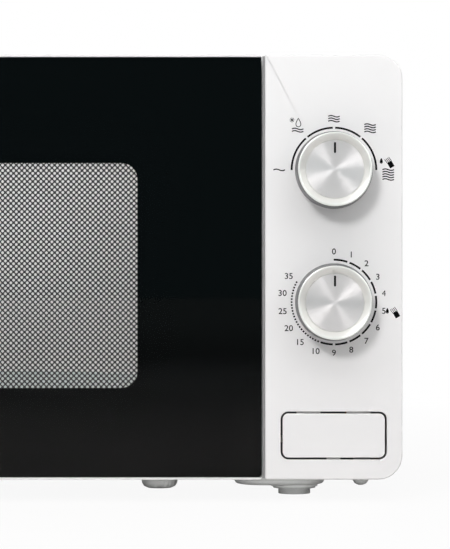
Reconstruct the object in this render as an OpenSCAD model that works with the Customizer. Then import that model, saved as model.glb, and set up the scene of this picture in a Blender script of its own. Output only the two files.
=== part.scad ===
// Countertop microwave oven with a side-hung glass door, two rotary controls and a push-to-open button.
// Millimetres. +Z is up, the front faces -Y, the controls are on the +X side.
// The origin is on the table under the middle of the oven.

/* [Overall] */
// Width across the door and the control panel
body_w = 440; // [420:1:530]
// Height of the door and the control panel
body_h = 246; // [240:1:300]
// Depth of the steel case behind the door and the panel
case_d = 300; // [290:1:360]
// Thickness of the door and of the control panel
front_t = 30; // [28:0.5:36]
// Height of the feet and their bosses under the door
foot_h = 13.5; // [12:0.5:17]
// How far the spacers on the back hold the oven off a wall
spacer_h = 4; // [3:0.5:10]

/* [Case] */
// Thickness of the folded steel sheet
sheet = 1; // [0.8:0.1:1.2]
// How far the case is set in from the edge of the door and the panel
case_inset = 1.5; // [1:0.1:3]
// Radius of the case's folded corners
case_r = 10; // [8:0.5:12]
// Width of the folded lips of the case
case_lip = 11; // [10:0.5:16]
// Radius of the outer corners of the door and the panel
corner_r = 14; // [11:0.5:18]
// Diameter of a rubber foot
foot_d = 19.2; // [14:0.2:22]
// Height of the rubber foot below its boss
foot_pad_h = 4.5; // [3:0.1:5]
// Distance from the panel's face back to the middle of the front feet
foot_back = 62; // [58:1:80]
// Distance from the panel's edge in to the middle of each foot
foot_in = 61; // [60:0.5:90]

/* [Cavity] */
// Width of the front flange that the door seals against
choke_land = 26; // [25:0.5:34]
// Height of the cavity's floor above the door's lower edge
floor_rise = 22.5; // [22:0.5:30]
// Distance from the cavity's roof to the door's upper edge
roof_gap = 18.5; // [16:0.5:30]
// Distance from the cavity's back wall to the back of the case
rear_gap = 10; // [8:0.5:20]
// Radius of the cavity's back corners
cavity_r = 22; // [10:1:30]
// Clearance between the turntable and the cavity's walls
turntable_gap = 20; // [15:1:40]
// Diameter of a roller under the turntable
roller_d = 16; // [12:0.5:18]
// Radius at which the rollers run
roller_track = 100; // [90:1:104]

/* [Door] */
// Width of the gap between the door and the panel
door_gap = 2; // [1.5:0.1:3]
// Thickness of the front glass
glass_t = 3; // [2.5:0.1:4]
// Distance from the window to the side edges of the door
window_side = 72; // [60:0.5:90]
// Distance from the window to the door's upper edge
window_top = 62.6; // [50:0.1:80]
// Distance from the window to the door's lower edge
window_low = 52.8; // [45:0.1:70]
// Radius of the window's corners
window_r = 9.5; // [5:0.5:15]
// Wall of the moulded door frame
frame_wall = 2; // [1.6:0.1:2.5]
// Gap between the closed door and the front flange
seal_gap = 1; // [0.8:0.1:1.5]
// Distance from the door's edge to the hinge axis, and the radius of that edge
hinge_in = 10; // [9.5:0.1:10.5]
// Distance from the front flange forward to the hinge axis
hinge_out = 12.5; // [12:0.1:13]
// Diameter of the hinge pins
hinge_pin_d = 5; // [4:0.1:6]
// How far the latch hooks lift to let go
latch_travel = 4.5; // [4:0.1:5]

/* [Control panel] */
// Width of the control panel
panel_w = 79.5; // [79:0.5:95]
// Wall of the control panel moulding
panel_wall = 2.5; // [2:0.1:3]
// Distance from the panel's top to the middle of the power dial
power_drop = 66.8; // [60:0.1:80]
// Distance between the middles of the two dials
dial_pitch = 76.4; // [70:0.1:90]
// Distance from the panel's lower edge to the middle of the door button
button_rise = 25.5; // [24:0.1:30]
// Width of the door button
button_w = 59.2; // [50:0.1:62]
// Height of the door button
button_h = 25.5; // [22:0.1:27]
// Gap around the door button
button_gap = 1.15; // [1:0.05:1.5]
// How far a knob stands off the panel's face
knob_h = 20; // [18:0.5:26]
// Diameter of a knob at its foot
knob_d = 45; // [38:0.5:48]
// Diameter of a control's shaft
shaft_d = 6; // [5:0.1:7]

/* [Hidden] */
$fn = 96;
bore_gap = 0.05;
run_gap = 0.3;
eps = 0.5;
half_w = body_w / 2;
total_d = knob_h + front_t + case_d + spacer_h;
y_knob = -total_d / 2;
y_face = y_knob + knob_h;
y_flange = y_face + front_t;
y_back = y_flange + case_d;
z_low = foot_h;
z_top = z_low + body_h;

// case
case_x = half_w - case_inset;
case_z0 = z_low + case_inset;
case_z1 = z_top - case_inset;
base_x = case_x - case_r - 0.2;
base_z = case_z0 + sheet;
base_top = base_z + sheet;
rear_y = y_back - 2 * sheet;

// door outline, and the window centred in it
panel_x0 = half_w - panel_w;
door_x0 = -half_w;
door_x1 = panel_x0 - door_gap;
door_cx = (door_x0 + door_x1) / 2;
door_back = y_flange - seal_gap;
win_x0 = door_x0 + window_side;
win_x1 = door_x1 - window_side;
win_z0 = z_low + window_low;
win_z1 = z_top - window_top;

// cavity
cav_x0 = door_x0 + choke_land;
cav_x1 = door_x1 - choke_land;
cav_y1 = y_back - rear_gap;
cav_z0 = z_low + floor_rise;
cav_z1 = z_top - roof_gap;
cav_cy = (y_flange + cav_y1) / 2;
bay_x0 = cav_x1 + sheet;
bay_x1 = case_x - sheet;

// turntable and its rollers, stacked up from the track pressed in the floor
turntable_r = min(cav_x1 - cav_x0, cav_y1 - y_flange) / 2 - turntable_gap;
track_drop = 1.5;
track_z = cav_z0 - track_drop;
track_r = roller_track + 12;
roller_w = 9;
roller_z = track_z + run_gap + roller_d / 2;
glass_z = track_z + roller_d + 2 * run_gap;
motor_z = track_z - sheet;
motor_h = 14.5;
hub_d = 9;

// layers of the door, from the front glass back
shelf_y = y_face + glass_t;
plate_y = shelf_y + 2.5;
film_y = plate_y + sheet;
cover_t = 1.5;
cover_y = door_back - cover_t;

// hinge axis, with the tongues near the top and the bottom of the door
hinge_x = door_x0 + hinge_in;
hinge_y = y_flange - hinge_out;
tongue_t = 2;
tongue_w = 12;
tongue_drop = 10;
tongue_z = [z_low + tongue_drop, z_top - tongue_drop];
pocket_r = 14.2;
ear_off = 5;
ear_t = 2.5;

// latch hooks and what they meet
hook_x0 = cav_x1 + 8.5;
hook_w = 5;
hook_h = 10;
hook_z = [z_low + 44.5, z_low + 182.5];
barb = 3.5;
ledge_t = 5;
hook_tip = y_flange + 23;
catch_y = y_flange + 2 * sheet + 1;
bar_y0 = film_y + run_gap;
bar_t = 6;
board_x = hook_x0 + hook_w + 3;
board_t = 3;
board_y1 = y_flange + 41;
spring_l = 16;
spring_top = hook_z[1] + hook_h + spring_l;

// control panel
panel_cx = panel_x0 + panel_w / 2;
power_z = z_top - power_drop;
timer_z = power_z - dial_pitch;
button_z = z_low + button_rise;
button_top = button_z + button_h / 2;
button_low = button_z - button_h / 2;
button_ax_z = button_top + 0.6;
button_ax_y = y_face + 5;
button_pin_d = 2.6;
lug_dx = 14.5;
lug_w = 8;
stalk_in = 2.35;
stalk_x = panel_cx - button_w / 2 + stalk_in;
stalk_behind = 10.6;
stalk_reach = y_flange + stalk_behind - button_ax_y;
stalk_w = 6;
boss_l = 2;
body_y = y_face + panel_wall + boss_l;

// knob profile
knob_foot_gap = 0.8;
knob_taper = 1.1;
knob_wall = 2;
disc_r = 16.8;
disc_t = 0.8;
disc_sink = 3.4;
hub_r = shaft_d / 2 + 3;

// component bay
fan_x = (bay_x0 + bay_x1) / 2;
fan_r = 39;
bay_z = z_low + 136.5;
guide_l = 32;
mag_y = y_flange + 189;
mag_h = 68;
mag_l = 46;
mag_w = 80;
plate_t = 2;
anode_r = 20;
filter_t = 21;
wave_x = bay_x0 + guide_l;
yoke_x = wave_x + plate_t;
duct_y = y_back - 34;
duct_t = 3;
lamp_z = bay_z + 68;
lamp_y = mag_y + 50;
lamp_x = bay_x0 + 12;

// ---------- helpers ----------

// a box from its lowest to its highest corner
module block(low, high) {
    translate(low) cube(high - low);
}

// an outline drawn in x and z, given its depth along y
module along_y(y0, y1) {
    translate([0, y1, 0]) rotate([90, 0, 0]) linear_extrude(y1 - y0) children();
}

// an outline drawn in y and z, given its length along x
module along_x(x0, x1) {
    translate([x0, 0, 0]) rotate([90, 0, 90]) linear_extrude(x1 - x0) children();
}

// an outline drawn in x and y, given its height
module along_z(z0, z1) {
    translate([0, 0, z0]) linear_extrude(z1 - z0) children();
}

module rod_y(x, z, y0, y1, r) {
    along_y(y0, y1) translate([x, z]) circle(r);
}

module rod_x(y, z, x0, x1, r) {
    along_x(x0, x1) translate([y, z]) circle(r);
}

module rod_z(x, y, z0, z1, r) {
    along_z(z0, z1) translate([x, y]) circle(r);
}

// a rectangle with one radius on its left corners and one on its right
module panel2d(x0, x1, z0, z1, rl, rr) {
    translate([x0 + rl, z0]) square([x1 - x0 - rl - rr, z1 - z0]);
    translate([x0, z0 + rl]) square([rl, z1 - z0 - 2 * rl]);
    translate([x1 - rr, z0 + rr]) square([rr, z1 - z0 - 2 * rr]);
    for (z = [z0 + rl, z1 - rl]) translate([x0 + rl, z]) circle(rl);
    for (z = [z0 + rr, z1 - rr]) translate([x1 - rr, z]) circle(rr);
}

module round_rect(x0, x1, z0, z1, r) {
    panel2d(x0, x1, z0, z1, r, r);
}

// a slot with round ends, lying along the first axis
module slot2d(x, z, l, w) {
    translate([x - (l - w) / 2, z - w / 2]) square([l - w, w]);
    for (s = [-1, 1]) translate([x + s * (l - w) / 2, z]) circle(w / 2);
}

// ---------- case ----------

module case_section(inset) {
    round_rect(inset - case_x, case_x - inset, case_z0 + inset, case_z1 - inset,
               max(case_r - inset, 1));
}

side_slots = 12;
slot_pitch = 9;

screw_side_z = [z_low + 45, z_low + 123, z_low + 201];
screw_top_x = half_w - 95;
lip_mid = case_x - sheet - case_lip / 2;
lip_mid_z = case_z1 - sheet - case_lip / 2;
screw_d = 3.4;

module at_case_screws() {
    for (s = [-1, 1]) {
        for (z = screw_side_z) translate([s * lip_mid, z]) children();
        translate([s * screw_top_x, lip_mid_z]) children();
    }
}

module cabinet() {
    color("whitesmoke") difference() {
        union() {
            along_y(y_flange + sheet, y_back) difference() {
                case_section(0);
                case_section(sheet);
            }
            along_y(y_back - sheet, y_back) difference() {
                case_section(sheet / 2);
                case_section(sheet + case_lip);
            }
        }
        block([sheet + case_lip + 3 - case_x, y_flange, case_z0 - eps],
              [case_x - sheet - case_lip - 3, y_back + eps, case_z0 + case_lip + 3]);
        for (s = [-1, 1]) translate([s * dimple_x, foot_y[0], case_z0 - 1])
            cylinder(h = sheet + 1.5, r = dimple_r + bump_flare + sheet + run_gap);
        along_y(y_back - 2 * sheet, y_back + eps) at_case_screws() circle(screw_d / 2 + 0.1);
        for (i = [0 : side_slots - 1]) {
            along_x(-case_x - eps, eps - case_x + 2)
                slot2d(y_back - 60, case_z1 - 40 - i * slot_pitch, 46, 3.2);
            along_x(case_x - 2 - eps, case_x + eps)
                slot2d(y_flange + 70, z_low + 40 + i * slot_pitch, 46, 3.2);
        }
    }
}

gland_x = half_w - 32;
gland_z = z_low + 33;
gland_r = 8;
spacer_x = half_w - 75;
spacer_z = z_top - 50;

module rear_panel() {
    color("whitesmoke") difference() {
        union() {
            along_y(rear_y, rear_y + sheet)
                round_rect(0.2 + sheet - case_x, case_x - sheet - 0.2, base_z + 0.2,
                           case_z1 - sheet - 0.2, case_r - sheet - 0.2);
            for (s = [-1, 1]) translate([s * spacer_x, rear_y + sheet, spacer_z])
                rotate([-90, 0, 0]) cylinder(h = spacer_h + sheet, r1 = 12, r2 = 9);
        }
        for (s = [-1, 1]) translate([s * spacer_x, rear_y - eps, spacer_z])
            rotate([-90, 0, 0]) cylinder(h = spacer_h + sheet, r1 = 11, r2 = 8);
        along_y(rear_y - eps, rear_y + sheet + eps) {
            at_case_screws() circle(screw_d / 2 + 0.1);
            translate([gland_x, gland_z]) circle(gland_r);
            translate([fan_x, bay_z]) fan_holes();
            for (i = [0 : 9]) translate([-half_w + 48 + i * 9, z_low + 84]) square([3.2, 34]);
            for (i = [0 : 9], j = [0 : 3])
                translate([-half_w + 50 + i * 9, z_low + 130 + j * 9]) circle(2.4);
        }
    }
}

module fan_holes() {
    circle(2.5);
    for (ring = [1 : 3], k = [0 : 6 * ring - 1])
        rotate(k * 60 / ring) translate([ring * 10, 0]) circle(2.5);
}

// feet and the bosses drawn in the base to carry them
seat_r = 14;
boss_w = 36;
boss_len = 54;
boss_z = foot_pad_h + 1.5;
stem_r = 3;
foot_y = [y_face + foot_back, y_back - 40];
mid_boss_x = half_w - 142.1;
mid_boss_r = 10.1;
mid_boss_low = foot_pad_h - 1.1;
dimple_x = half_w - 21;
dimple_r = 4.3;
dimple_low = foot_pad_h + 0.45;
bump_flare = 0.9;

module at_feet() {
    for (s = [-1, 1], y = foot_y) translate([s * (half_w - foot_in), y, 0]) handed(s) children();
}

module handed(s) {
    if (s < 0) mirror([1, 0, 0]) children();
    else children();
}

module drawn_boss(grow) {
    translate([0, 0, boss_z + sheet - grow]) linear_extrude(base_top - boss_z)
        slot2d(-boss_len / 2 + boss_w / 2, 0, boss_len - 2 * sheet + 2 * grow, boss_w - 2 * sheet + 2 * grow);
    translate([0, 0, foot_pad_h + sheet - grow]) cylinder(h = boss_z, r = seat_r - sheet + grow);
}

// a round bump pressed down out of the sheet, with a soft lower corner
module bump(x, r, low, grow) {
    floor_z = low + sheet;
    top_z = base_top + (grow > 0 ? 0 : eps);
    translate([x, foot_y[0], 0]) rotate_extrude() polygon([
        [0, floor_z - grow], [r - 3.2 + 0.4 * grow, floor_z - grow],
        [r - 1.4 + 0.75 * grow, floor_z + 0.7 * (1 - grow)], [r - 0.5 + grow, floor_z + 2.2 - 0.35 * grow],
        [r + bump_flare + grow, top_z], [0, top_z]]);
}

module base_plate() {
    color("silver") difference() {
        union() {
            block([-base_x, y_flange + sheet, base_z], [base_x, rear_y, base_top]);
            intersection() {
                at_feet() drawn_boss(sheet);
                block([-half_w, y_flange, 0], [half_w, y_back, base_top]);
            }
            bump(mid_boss_x, mid_boss_r, mid_boss_low, sheet);
            for (s = [-1, 1]) bump(s * dimple_x, dimple_r, dimple_low, sheet);
        }
        at_feet() {
            drawn_boss(0);
            cylinder(h = base_top, r = stem_r + bore_gap);
        }
        bump(mid_boss_x, mid_boss_r, mid_boss_low, 0);
        for (s = [-1, 1]) bump(s * dimple_x, dimple_r, dimple_low, 0);
        for (i = [0 : 7]) along_z(base_z - eps, base_top + eps)
            translate([bay_x0 + 10 + i * 9, foot_y[1] - boss_w / 2 - 42]) square([3.2, 34]);
    }
}

module feet() {
    color("gray") at_feet() {
        cylinder(h = foot_pad_h, r = foot_d / 2);
        difference() {
            translate([0, 0, foot_pad_h - 1]) cylinder(h = 1, r = seat_r - 1.2);
            for (a = [0 : 90 : 270]) rotate(a) translate([foot_d / 2 + 0.4, -1.5, 0]) cube([9, 3, 9]);
        }
        cylinder(h = foot_pad_h + sheet + 2, r = stem_r);
        translate([0, 0, foot_pad_h + sheet]) cylinder(h = 1.5, r = stem_r + 1.5);
    }
}

module case_screws() {
    color("lightgray") {
        along_y(y_back - 6, y_back) at_case_screws() circle(screw_d / 2);
        along_y(y_back, y_back + 2) at_case_screws() difference() {
            circle(3.4);
            square([0.9, 4.4], center = true);
            square([4.4, 0.9], center = true);
        }
    }
}

module cord_gland() {
    color("dimgray") difference() {
        union() {
            rod_y(gland_x, gland_z, rear_y - 4, rear_y + sheet, gland_r);
            rod_y(gland_x, gland_z, rear_y + sheet, rear_y + sheet + 3.5, gland_r + 2.5);
            rod_y(gland_x, gland_z, rear_y - 4, rear_y, gland_r + 1.2);
        }
        rod_y(gland_x, gland_z, rear_y - 5, rear_y + 9, 3.6);
    }
}

// ---------- cavity ----------

module cavity_plan(grow) {
    x0 = cav_x0 - grow;
    x1 = cav_x1 + grow;
    y1 = cav_y1 + grow;
    r = cavity_r + grow;
    translate([x0, y_flange + sheet]) square([x1 - x0, y1 - r - y_flange - sheet]);
    translate([x0 + r, y1 - r - 1]) square([x1 - x0 - 2 * r, r + 1]);
    for (x = [x0 + r, x1 - r]) translate([x, y1 - r]) circle(r);
}

vent_y = y_flange + 46;
guide_port = [66, 44];

module cavity() {
    color("gainsboro") difference() {
        union() {
            along_z(cav_z0 - sheet, cav_z1 + sheet) cavity_plan(sheet);
            translate([door_cx, cav_cy, track_z - sheet])
                cylinder(h = track_drop + sheet, r = track_r + sheet);
        }
        along_z(cav_z0, cav_z1) cavity_plan(0);
        translate([door_cx, cav_cy, track_z]) cylinder(h = track_drop + eps, r = track_r);
        rod_z(door_cx, cav_cy, track_z - 9, cav_z0, hub_d / 2 + 2);
        along_x(cav_x1 - eps, cav_x1 + sheet + eps) {
            translate([mag_y - guide_port[0] / 2, bay_z - guide_port[1] / 2]) square(guide_port);
            for (i = [0 : 4], j = [0 : 5]) translate([vent_y + i * 8, bay_z - 40 + j * 8]) circle(2);
            for (i = [0 : 3], j = [0 : 2])
                translate([lamp_y - 35 + i * 7, lamp_z - 7 + j * 7]) circle(1.8);
        }
        along_x(cav_x0 - sheet - eps, cav_x0 + eps)
            for (i = [0 : 4], j = [0 : 4]) translate([cav_y1 - 80 + i * 8, cav_z1 - 56 + j * 8]) circle(2);
    }
}

module front_flange() {
    color("gainsboro") along_y(y_flange, y_flange + sheet) difference() {
        case_section(0);
        round_rect(cav_x0, cav_x1, cav_z0, cav_z1, 3);
        round_rect(panel_x0 + 2.5, case_x - 5, case_z0 + 5, case_z1 - 8, 3);
        for (z = hook_z) translate([hook_x0 - 1.5, z - hook_h / 2 - barb - 1])
            square([hook_w + 3, hook_h + barb + latch_travel + 2]);
    }
}

module waveguide() {
    color("silver") difference() {
        block([bay_x0, mag_y - 42, bay_z - 30], [wave_x, mag_y + 42, bay_z + 30]);
        block([bay_x0 - eps, mag_y - 42 + sheet, bay_z - 30 + sheet],
              [wave_x - sheet, mag_y + 42 - sheet, bay_z + 30 - sheet]);
        rod_x(mag_y, bay_z, wave_x - 2, wave_x + eps, 15);
    }
}

module waveguide_cover() {
    color("tan") along_x(cav_x1 - 0.6, cav_x1) difference() {
        translate([mag_y - 46, bay_z - 32]) square([92, 64]);
        for (sy = [-1, 1], sz = [-1, 1]) translate([mag_y + sy * 46, bay_z + sz * 32]) circle(5);
        translate([mag_y - 40, bay_z]) circle(1.8);
        translate([mag_y + 40, bay_z]) circle(1.8);
    }
}

module lamp_holder() {
    color("beige") difference() {
        union() {
            block([bay_x0, lamp_y, lamp_z - 12], [bay_x0 + 24, lamp_y + 4, lamp_z + 12]);
            rod_y(lamp_x, lamp_z, lamp_y + 4, lamp_y + 20, 10);
        }
        rod_y(lamp_x, lamp_z, lamp_y - eps, lamp_y + 16, 7);
    }
}

module lamp_bulb() {
    color("lightyellow") {
        rod_y(lamp_x, lamp_z, lamp_y - 20, lamp_y, 6);
        rod_y(lamp_x, lamp_z, lamp_y, lamp_y + 16, 7);
        translate([lamp_x, lamp_y - 20, lamp_z]) sphere(10);
    }
}

// ---------- turntable drive ----------

module turntable_motor() {
    color("silver") difference() {
        union() {
            rod_z(door_cx, cav_cy, motor_z - motor_h, motor_z, 24.5);
            along_z(motor_z - 1.5, motor_z) translate([door_cx, cav_cy]) slot2d(0, 0, 66, 16);
            block([door_cx - 9, cav_cy + 20, motor_z - motor_h + 2], [door_cx + 9, cav_cy + 34, motor_z - 4]);
        }
        rod_z(door_cx, cav_cy, motor_z - 11, motor_z + eps, hub_d / 2 + bore_gap);
        for (s = [-1, 1]) rod_z(door_cx + s * 28.5, cav_cy, motor_z - 5, motor_z + eps, 1.8);
    }
}

lobe_r = 14;

module drive_coupler() {
    color("ivory") {
        rod_z(door_cx, cav_cy, motor_z - 10, glass_z - 8, hub_d / 2);
        translate([door_cx, cav_cy, glass_z - 8]) {
            cylinder(h = 8, r = 8);
            for (a = [90, 210, 330]) rotate(a) translate([0, -3.5, 0]) cube([lobe_r, 7, 8]);
        }
    }
}

tray_t = 4.5;
rim_h = 11;

module glass_turntable() {
    r = turntable_r;
    color("azure", 0.6) translate([door_cx, cav_cy, glass_z]) {
        rotate_extrude() polygon([[0, 0], [r - 18, 0], [r - 12, 1.2], [r - 2, rim_h - 3], [r, rim_h - 1.6],
            [r, rim_h], [r - 3, rim_h], [r - 5, rim_h - 1.6], [r - 14, tray_t + 1.2], [r - 20, tray_t],
            [0, tray_t]]);
        for (a = [30, 150, 270]) rotate(a) translate([11, 0, -5]) cylinder(h = 5, r = 3);
    }
}

ring_r = roller_track - 14;

module roller_ring() {
    color("ivory") translate([door_cx, cav_cy, roller_z]) {
        translate([0, 0, -2.5]) difference() {
            cylinder(h = 5, r = ring_r + 3);
            translate([0, 0, -eps]) cylinder(h = 6, r = ring_r - 3);
        }
        for (k = [0 : 2]) rotate(k * 120 + 90) {
            translate([ring_r, 0, 0]) rotate([0, 90, 0])
                cylinder(h = roller_track + roller_w / 2 + 1.8 - ring_r, r = 2);
            translate([roller_track + roller_w / 2 + run_gap, 0, 0]) rotate([0, 90, 0])
                cylinder(h = 1.5, r = 3.2);
        }
    }
}

module roller(k) {
    color("ivory") translate([door_cx, cav_cy, roller_z]) rotate(k * 120 + 90)
        translate([roller_track - roller_w / 2, 0, 0]) rotate([0, 90, 0]) difference() {
            cylinder(h = roller_w, r = roller_d / 2);
            translate([0, 0, -eps]) cylinder(h = roller_w + 1, r = 2 + bore_gap);
        }
}

// ---------- hinges ----------

// a bracket on the flange with a tongue and a pin; dir is -1 for the upper one, its pin pointing down
module hinge(z, dir) {
    color("silver") {
        along_z(z - tongue_t / 2, z + tongue_t / 2) {
            translate([hinge_x, hinge_y]) circle(tongue_w / 2);
            translate([hinge_x - tongue_w / 2, hinge_y]) square([tongue_w, hinge_out]);
        }
        rod_z(hinge_x, hinge_y, min(z, z + dir * 9), max(z, z + dir * 9), hinge_pin_d / 2);
    }
}

module upper_hinge() {
    hinge(tongue_z[1], -1);
}

module lower_hinge() {
    hinge(tongue_z[0], 1);
}

// ---------- door ----------

module door_outline(inset) {
    panel2d(door_x0 + inset, door_x1 - inset, z_low + inset, z_top - inset,
            max(corner_r - inset, 1), 1.2);
}

// the door seen from above: its hinge edge is round at the back
module door_plan(inset) {
    y1 = door_back;
    r = hinge_in;
    translate([door_x0 + inset, y_face]) square([door_x1 - door_x0 - 2 * inset, front_t - seal_gap - r]);
    translate([door_x0 + r, y_face])
        square([door_x1 - door_x0 - r - inset, front_t - seal_gap + (inset > 0 ? 1 : 0)]);
    translate([door_x0 + r, y1 - r]) circle(r - inset);
}

module hinge_pockets() {
    for (z = tongue_z)
        rod_z(hinge_x, hinge_y, z - tongue_t / 2 - 0.6, z + tongue_t / 2 + 0.6, pocket_r);
}

glass_top = 1.3;
glass_low = 1.7;
glass_side = 0.5;

module glass_outline() {
    panel2d(door_x0 + glass_side, door_x1 - glass_side, z_low + glass_low, z_top - glass_top,
            corner_r - glass_side, 0.8);
}

module door_frame() {
    color("white") difference() {
        intersection() {
            along_y(y_face, door_back) door_outline(0);
            along_z(z_low, z_top) door_plan(0);
        }
        along_y(y_face - eps, shelf_y) glass_outline();
        along_y(y_face, door_back) round_rect(win_x0 - 10, win_x1 + 10, win_z0 - 10, win_z1 + 10, window_r);
        intersection() {
            along_y(plate_y, door_back + eps) door_outline(frame_wall);
            along_z(z_low, z_top) door_plan(frame_wall);
        }
        hinge_pockets();
    }
}

module door_glass() {
    color("black") along_y(y_face, shelf_y) glass_outline();
}

module choke_ring(grow, r) {
    round_rect(cav_x0 - grow, cav_x1 + grow, cav_z0 - grow, cav_z1 + grow, r);
}

module door_plate() {
    color("darkgray") {
        difference() {
            union() {
                along_y(plate_y, film_y) door_outline(frame_wall + 2);
                along_y(film_y, cover_y) difference() {
                    choke_ring(2.5, 6);
                    choke_ring(1.5, 5);
                }
                along_y(film_y, cover_y - 2) difference() {
                    round_rect(door_x0 + hinge_in + 1, door_x1 - 4, z_low + 4, z_top - 4, 5);
                    round_rect(door_x0 + hinge_in + 2, door_x1 - 5, z_low + 5, z_top - 5, 4);
                }
            }
            hinge_pockets();
            for (i = [0, 1]) ear_relief(i);
        }
        for (i = [0, 1]) hinge_ear(i);
        block([hook_x0 - 3, film_y, spring_top], [hook_x0 + hook_w + 3, film_y + 9, spring_top + 2]);
        for (z = [z_low + 80, z_low + 140], s = [0, 1])
            block([hook_x0 - 1.8 + s * (hook_w + 2.1), film_y, z],
                  [hook_x0 - 0.3 + s * (hook_w + 2.1), film_y + bar_t, z + 18]);
    }
}

// the tab that a hinge pin passes through, folded back from the plate
module ear_span(i, grow) {
    dir = i == 0 ? 1 : -1;
    zc = tongue_z[i] + dir * ear_off;
    block([hinge_x - 6 - grow, film_y - grow, zc - ear_t / 2 - grow],
          [hinge_x + 6 + grow, hinge_y + 5 + grow, zc + ear_t / 2 + grow]);
}

module hinge_ear(i) {
    difference() {
        ear_span(i, 0);
        rod_z(hinge_x, hinge_y, z_low, z_top, hinge_pin_d / 2 + bore_gap);
    }
}

module ear_relief(i) {
    translate([hinge_x, hinge_y, 0]) along_z(tongue_z[i] - 9, tongue_z[i] + 9)
        translate([-7, -6]) square([14, 12]);
}

module window_film() {
    color("lightgray", 0.4) along_y(film_y, film_y + 0.8)
        round_rect(win_x0 - 6, win_x1 + 6, win_z0 - 6, win_z1 + 6, window_r);
}

module choke_cover() {
    color("black") difference() {
        union() {
            along_y(cover_y, door_back) difference() {
                round_rect(door_x0 + hinge_in, door_x1 - frame_wall,
                    z_low + frame_wall, z_top - frame_wall, 4);
                choke_ring(1.5, 5);
            }
            along_y(cover_y - 2, cover_y) difference() {
                round_rect(door_x0 + hinge_in, door_x1 - frame_wall,
                    z_low + frame_wall, z_top - frame_wall, 4);
                round_rect(door_x0 + hinge_in + 1, door_x1 - 4, z_low + 4, z_top - 4, 5);
            }
        }
        hinge_pockets();
        along_y(cover_y - 3, door_back + eps) for (z = hook_z)
            translate([hook_x0 - 0.8, z - hook_h / 2 - 0.6])
                square([hook_w + 1.6, hook_h + latch_travel + 1.2]);
    }
}

module hook2d(z) {
    translate([bar_y0, z - hook_h / 2]) square([hook_tip - bar_y0, hook_h]);
    polygon([[catch_y + ledge_t + 0.7, z - hook_h / 2], [catch_y + ledge_t + 0.7, z - hook_h / 2 - barb],
        [hook_tip - 5, z - hook_h / 2 - barb], [hook_tip, z - hook_h / 2]]);
}

module latch_hooks() {
    color("ivory") along_x(hook_x0, hook_x0 + hook_w) {
        translate([bar_y0, hook_z[0] - hook_h]) square([bar_t, hook_z[1] - hook_z[0] + 2 * hook_h]);
        for (z = hook_z) hook2d(z);
    }
}

module latch_spring() {
    color("silver") difference() {
        rod_z(hook_x0 + hook_w / 2, bar_y0 + bar_t / 2, hook_z[1] + hook_h, spring_top, 2.4);
        rod_z(hook_x0 + hook_w / 2, bar_y0 + bar_t / 2, hook_z[1], spring_top + 1, 1.8);
    }
}

// ---------- control panel ----------

module panel_outline(inset) {
    panel2d(panel_x0 + inset, half_w - inset, z_low + inset, z_top - inset, 1.2, max(corner_r - inset, 1));
}

module button_outline(grow) {
    round_rect(panel_cx - button_w / 2 - grow, panel_cx + button_w / 2 + grow,
               button_low - grow, button_top + grow, 3.4 + grow);
}

module control_panel() {
    wall_y = y_face + panel_wall;
    color("white") difference() {
        union() {
            difference() {
                along_y(y_face, y_flange) panel_outline(0);
                along_y(wall_y, y_flange + eps) panel_outline(panel_wall);
            }
            for (z = [power_z, timer_z], sx = [-1, 1], sz = [-1, 1])
                rod_y(panel_cx + sx * 15, z + sz * 15, wall_y - eps, body_y, 3.5);
            for (s = [-1, 1]) button_bearing(panel_cx + s * lug_dx);
            spring_bridge();
        }
        for (z = [power_z, timer_z]) rod_y(panel_cx, z, y_face - eps, wall_y + eps, shaft_d / 2 + 1);
        along_y(y_face - eps, wall_y + eps) button_outline(button_gap);
        rod_x(button_ax_y, button_ax_z, panel_x0 + 5, half_w - 5, button_pin_d / 2 + bore_gap);
    }
}

// two ribs that hold one of the button's hinge lugs between them
module button_bearing(x) {
    for (s = [-1, 1]) {
        x0 = x + s * (lug_w / 2 + 0.4 + 1.25) - 1.25;
        along_x(x0, x0 + 2.5) {
            translate([button_ax_y, button_ax_z]) circle(2.6);
            translate([y_face + panel_wall - eps, button_top + button_gap]) square([6, 5]);
        }
    }
}

spring_x = panel_cx + 17;
bridge_y = y_face + 15;

// an arm behind the button that the spring pushes against
module spring_bridge() {
    block([spring_x - 5, y_face + panel_wall - eps, button_low - button_gap - 6],
          [spring_x + 5, bridge_y + 2, button_low - button_gap - 3.5]);
    block([spring_x - 5, bridge_y, button_low - button_gap - 6], [spring_x + 5, bridge_y + 2, button_z + 2]);
}

button_t = 2.2;

module release_button() {
    y1 = y_face + button_t;
    color("white") {
        along_y(y_face, y1) button_outline(0);
        for (s = [-1, 1]) {
            block([panel_cx + s * (button_w / 2 - 5) - 1, y1 - eps, button_low + 4],
                  [panel_cx + s * (button_w / 2 - 5) + 1, y_face + 8, button_top - 6]);
            lug(panel_cx + s * lug_dx);
        }
        block([panel_cx - 4, y1 - eps, button_low + 0.5], [panel_cx + 4, y1 + 4, button_low + 3]);
        block([panel_cx - 4, y1 + 1, button_low - 2.6], [panel_cx + 4, y1 + 4, button_low + 3]);
        stalk();
    }
}

module lug(x) {
    along_x(x - lug_w / 2, x + lug_w / 2) {
        translate([button_ax_y, button_ax_z]) circle(2.2);
        polygon([[button_ax_y - 1.9, button_ax_z], [button_ax_y + 2.2, button_ax_z],
            [button_ax_y + 2.2, button_top - 5], [y_face + button_t - eps, button_top - 9],
            [y_face + button_t - eps, button_top - 4], [button_ax_y - 1.9, button_top - 2.5]]);
    }
    rod_x(button_ax_y, button_ax_z, x - lug_w / 2 - 2.6, x + lug_w / 2 + 2.6, button_pin_d / 2);
}

stalk_z = button_low + 4;

module stalk() {
    y1 = button_ax_y + stalk_reach;
    along_x(stalk_x, stalk_x + stalk_w) {
        translate([y_face + button_t - eps, stalk_z - 3]) square([y1 - y_face - button_t - 1.5, 5]);
        translate([y1 - 2, stalk_z]) circle(2);
    }
}

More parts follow.
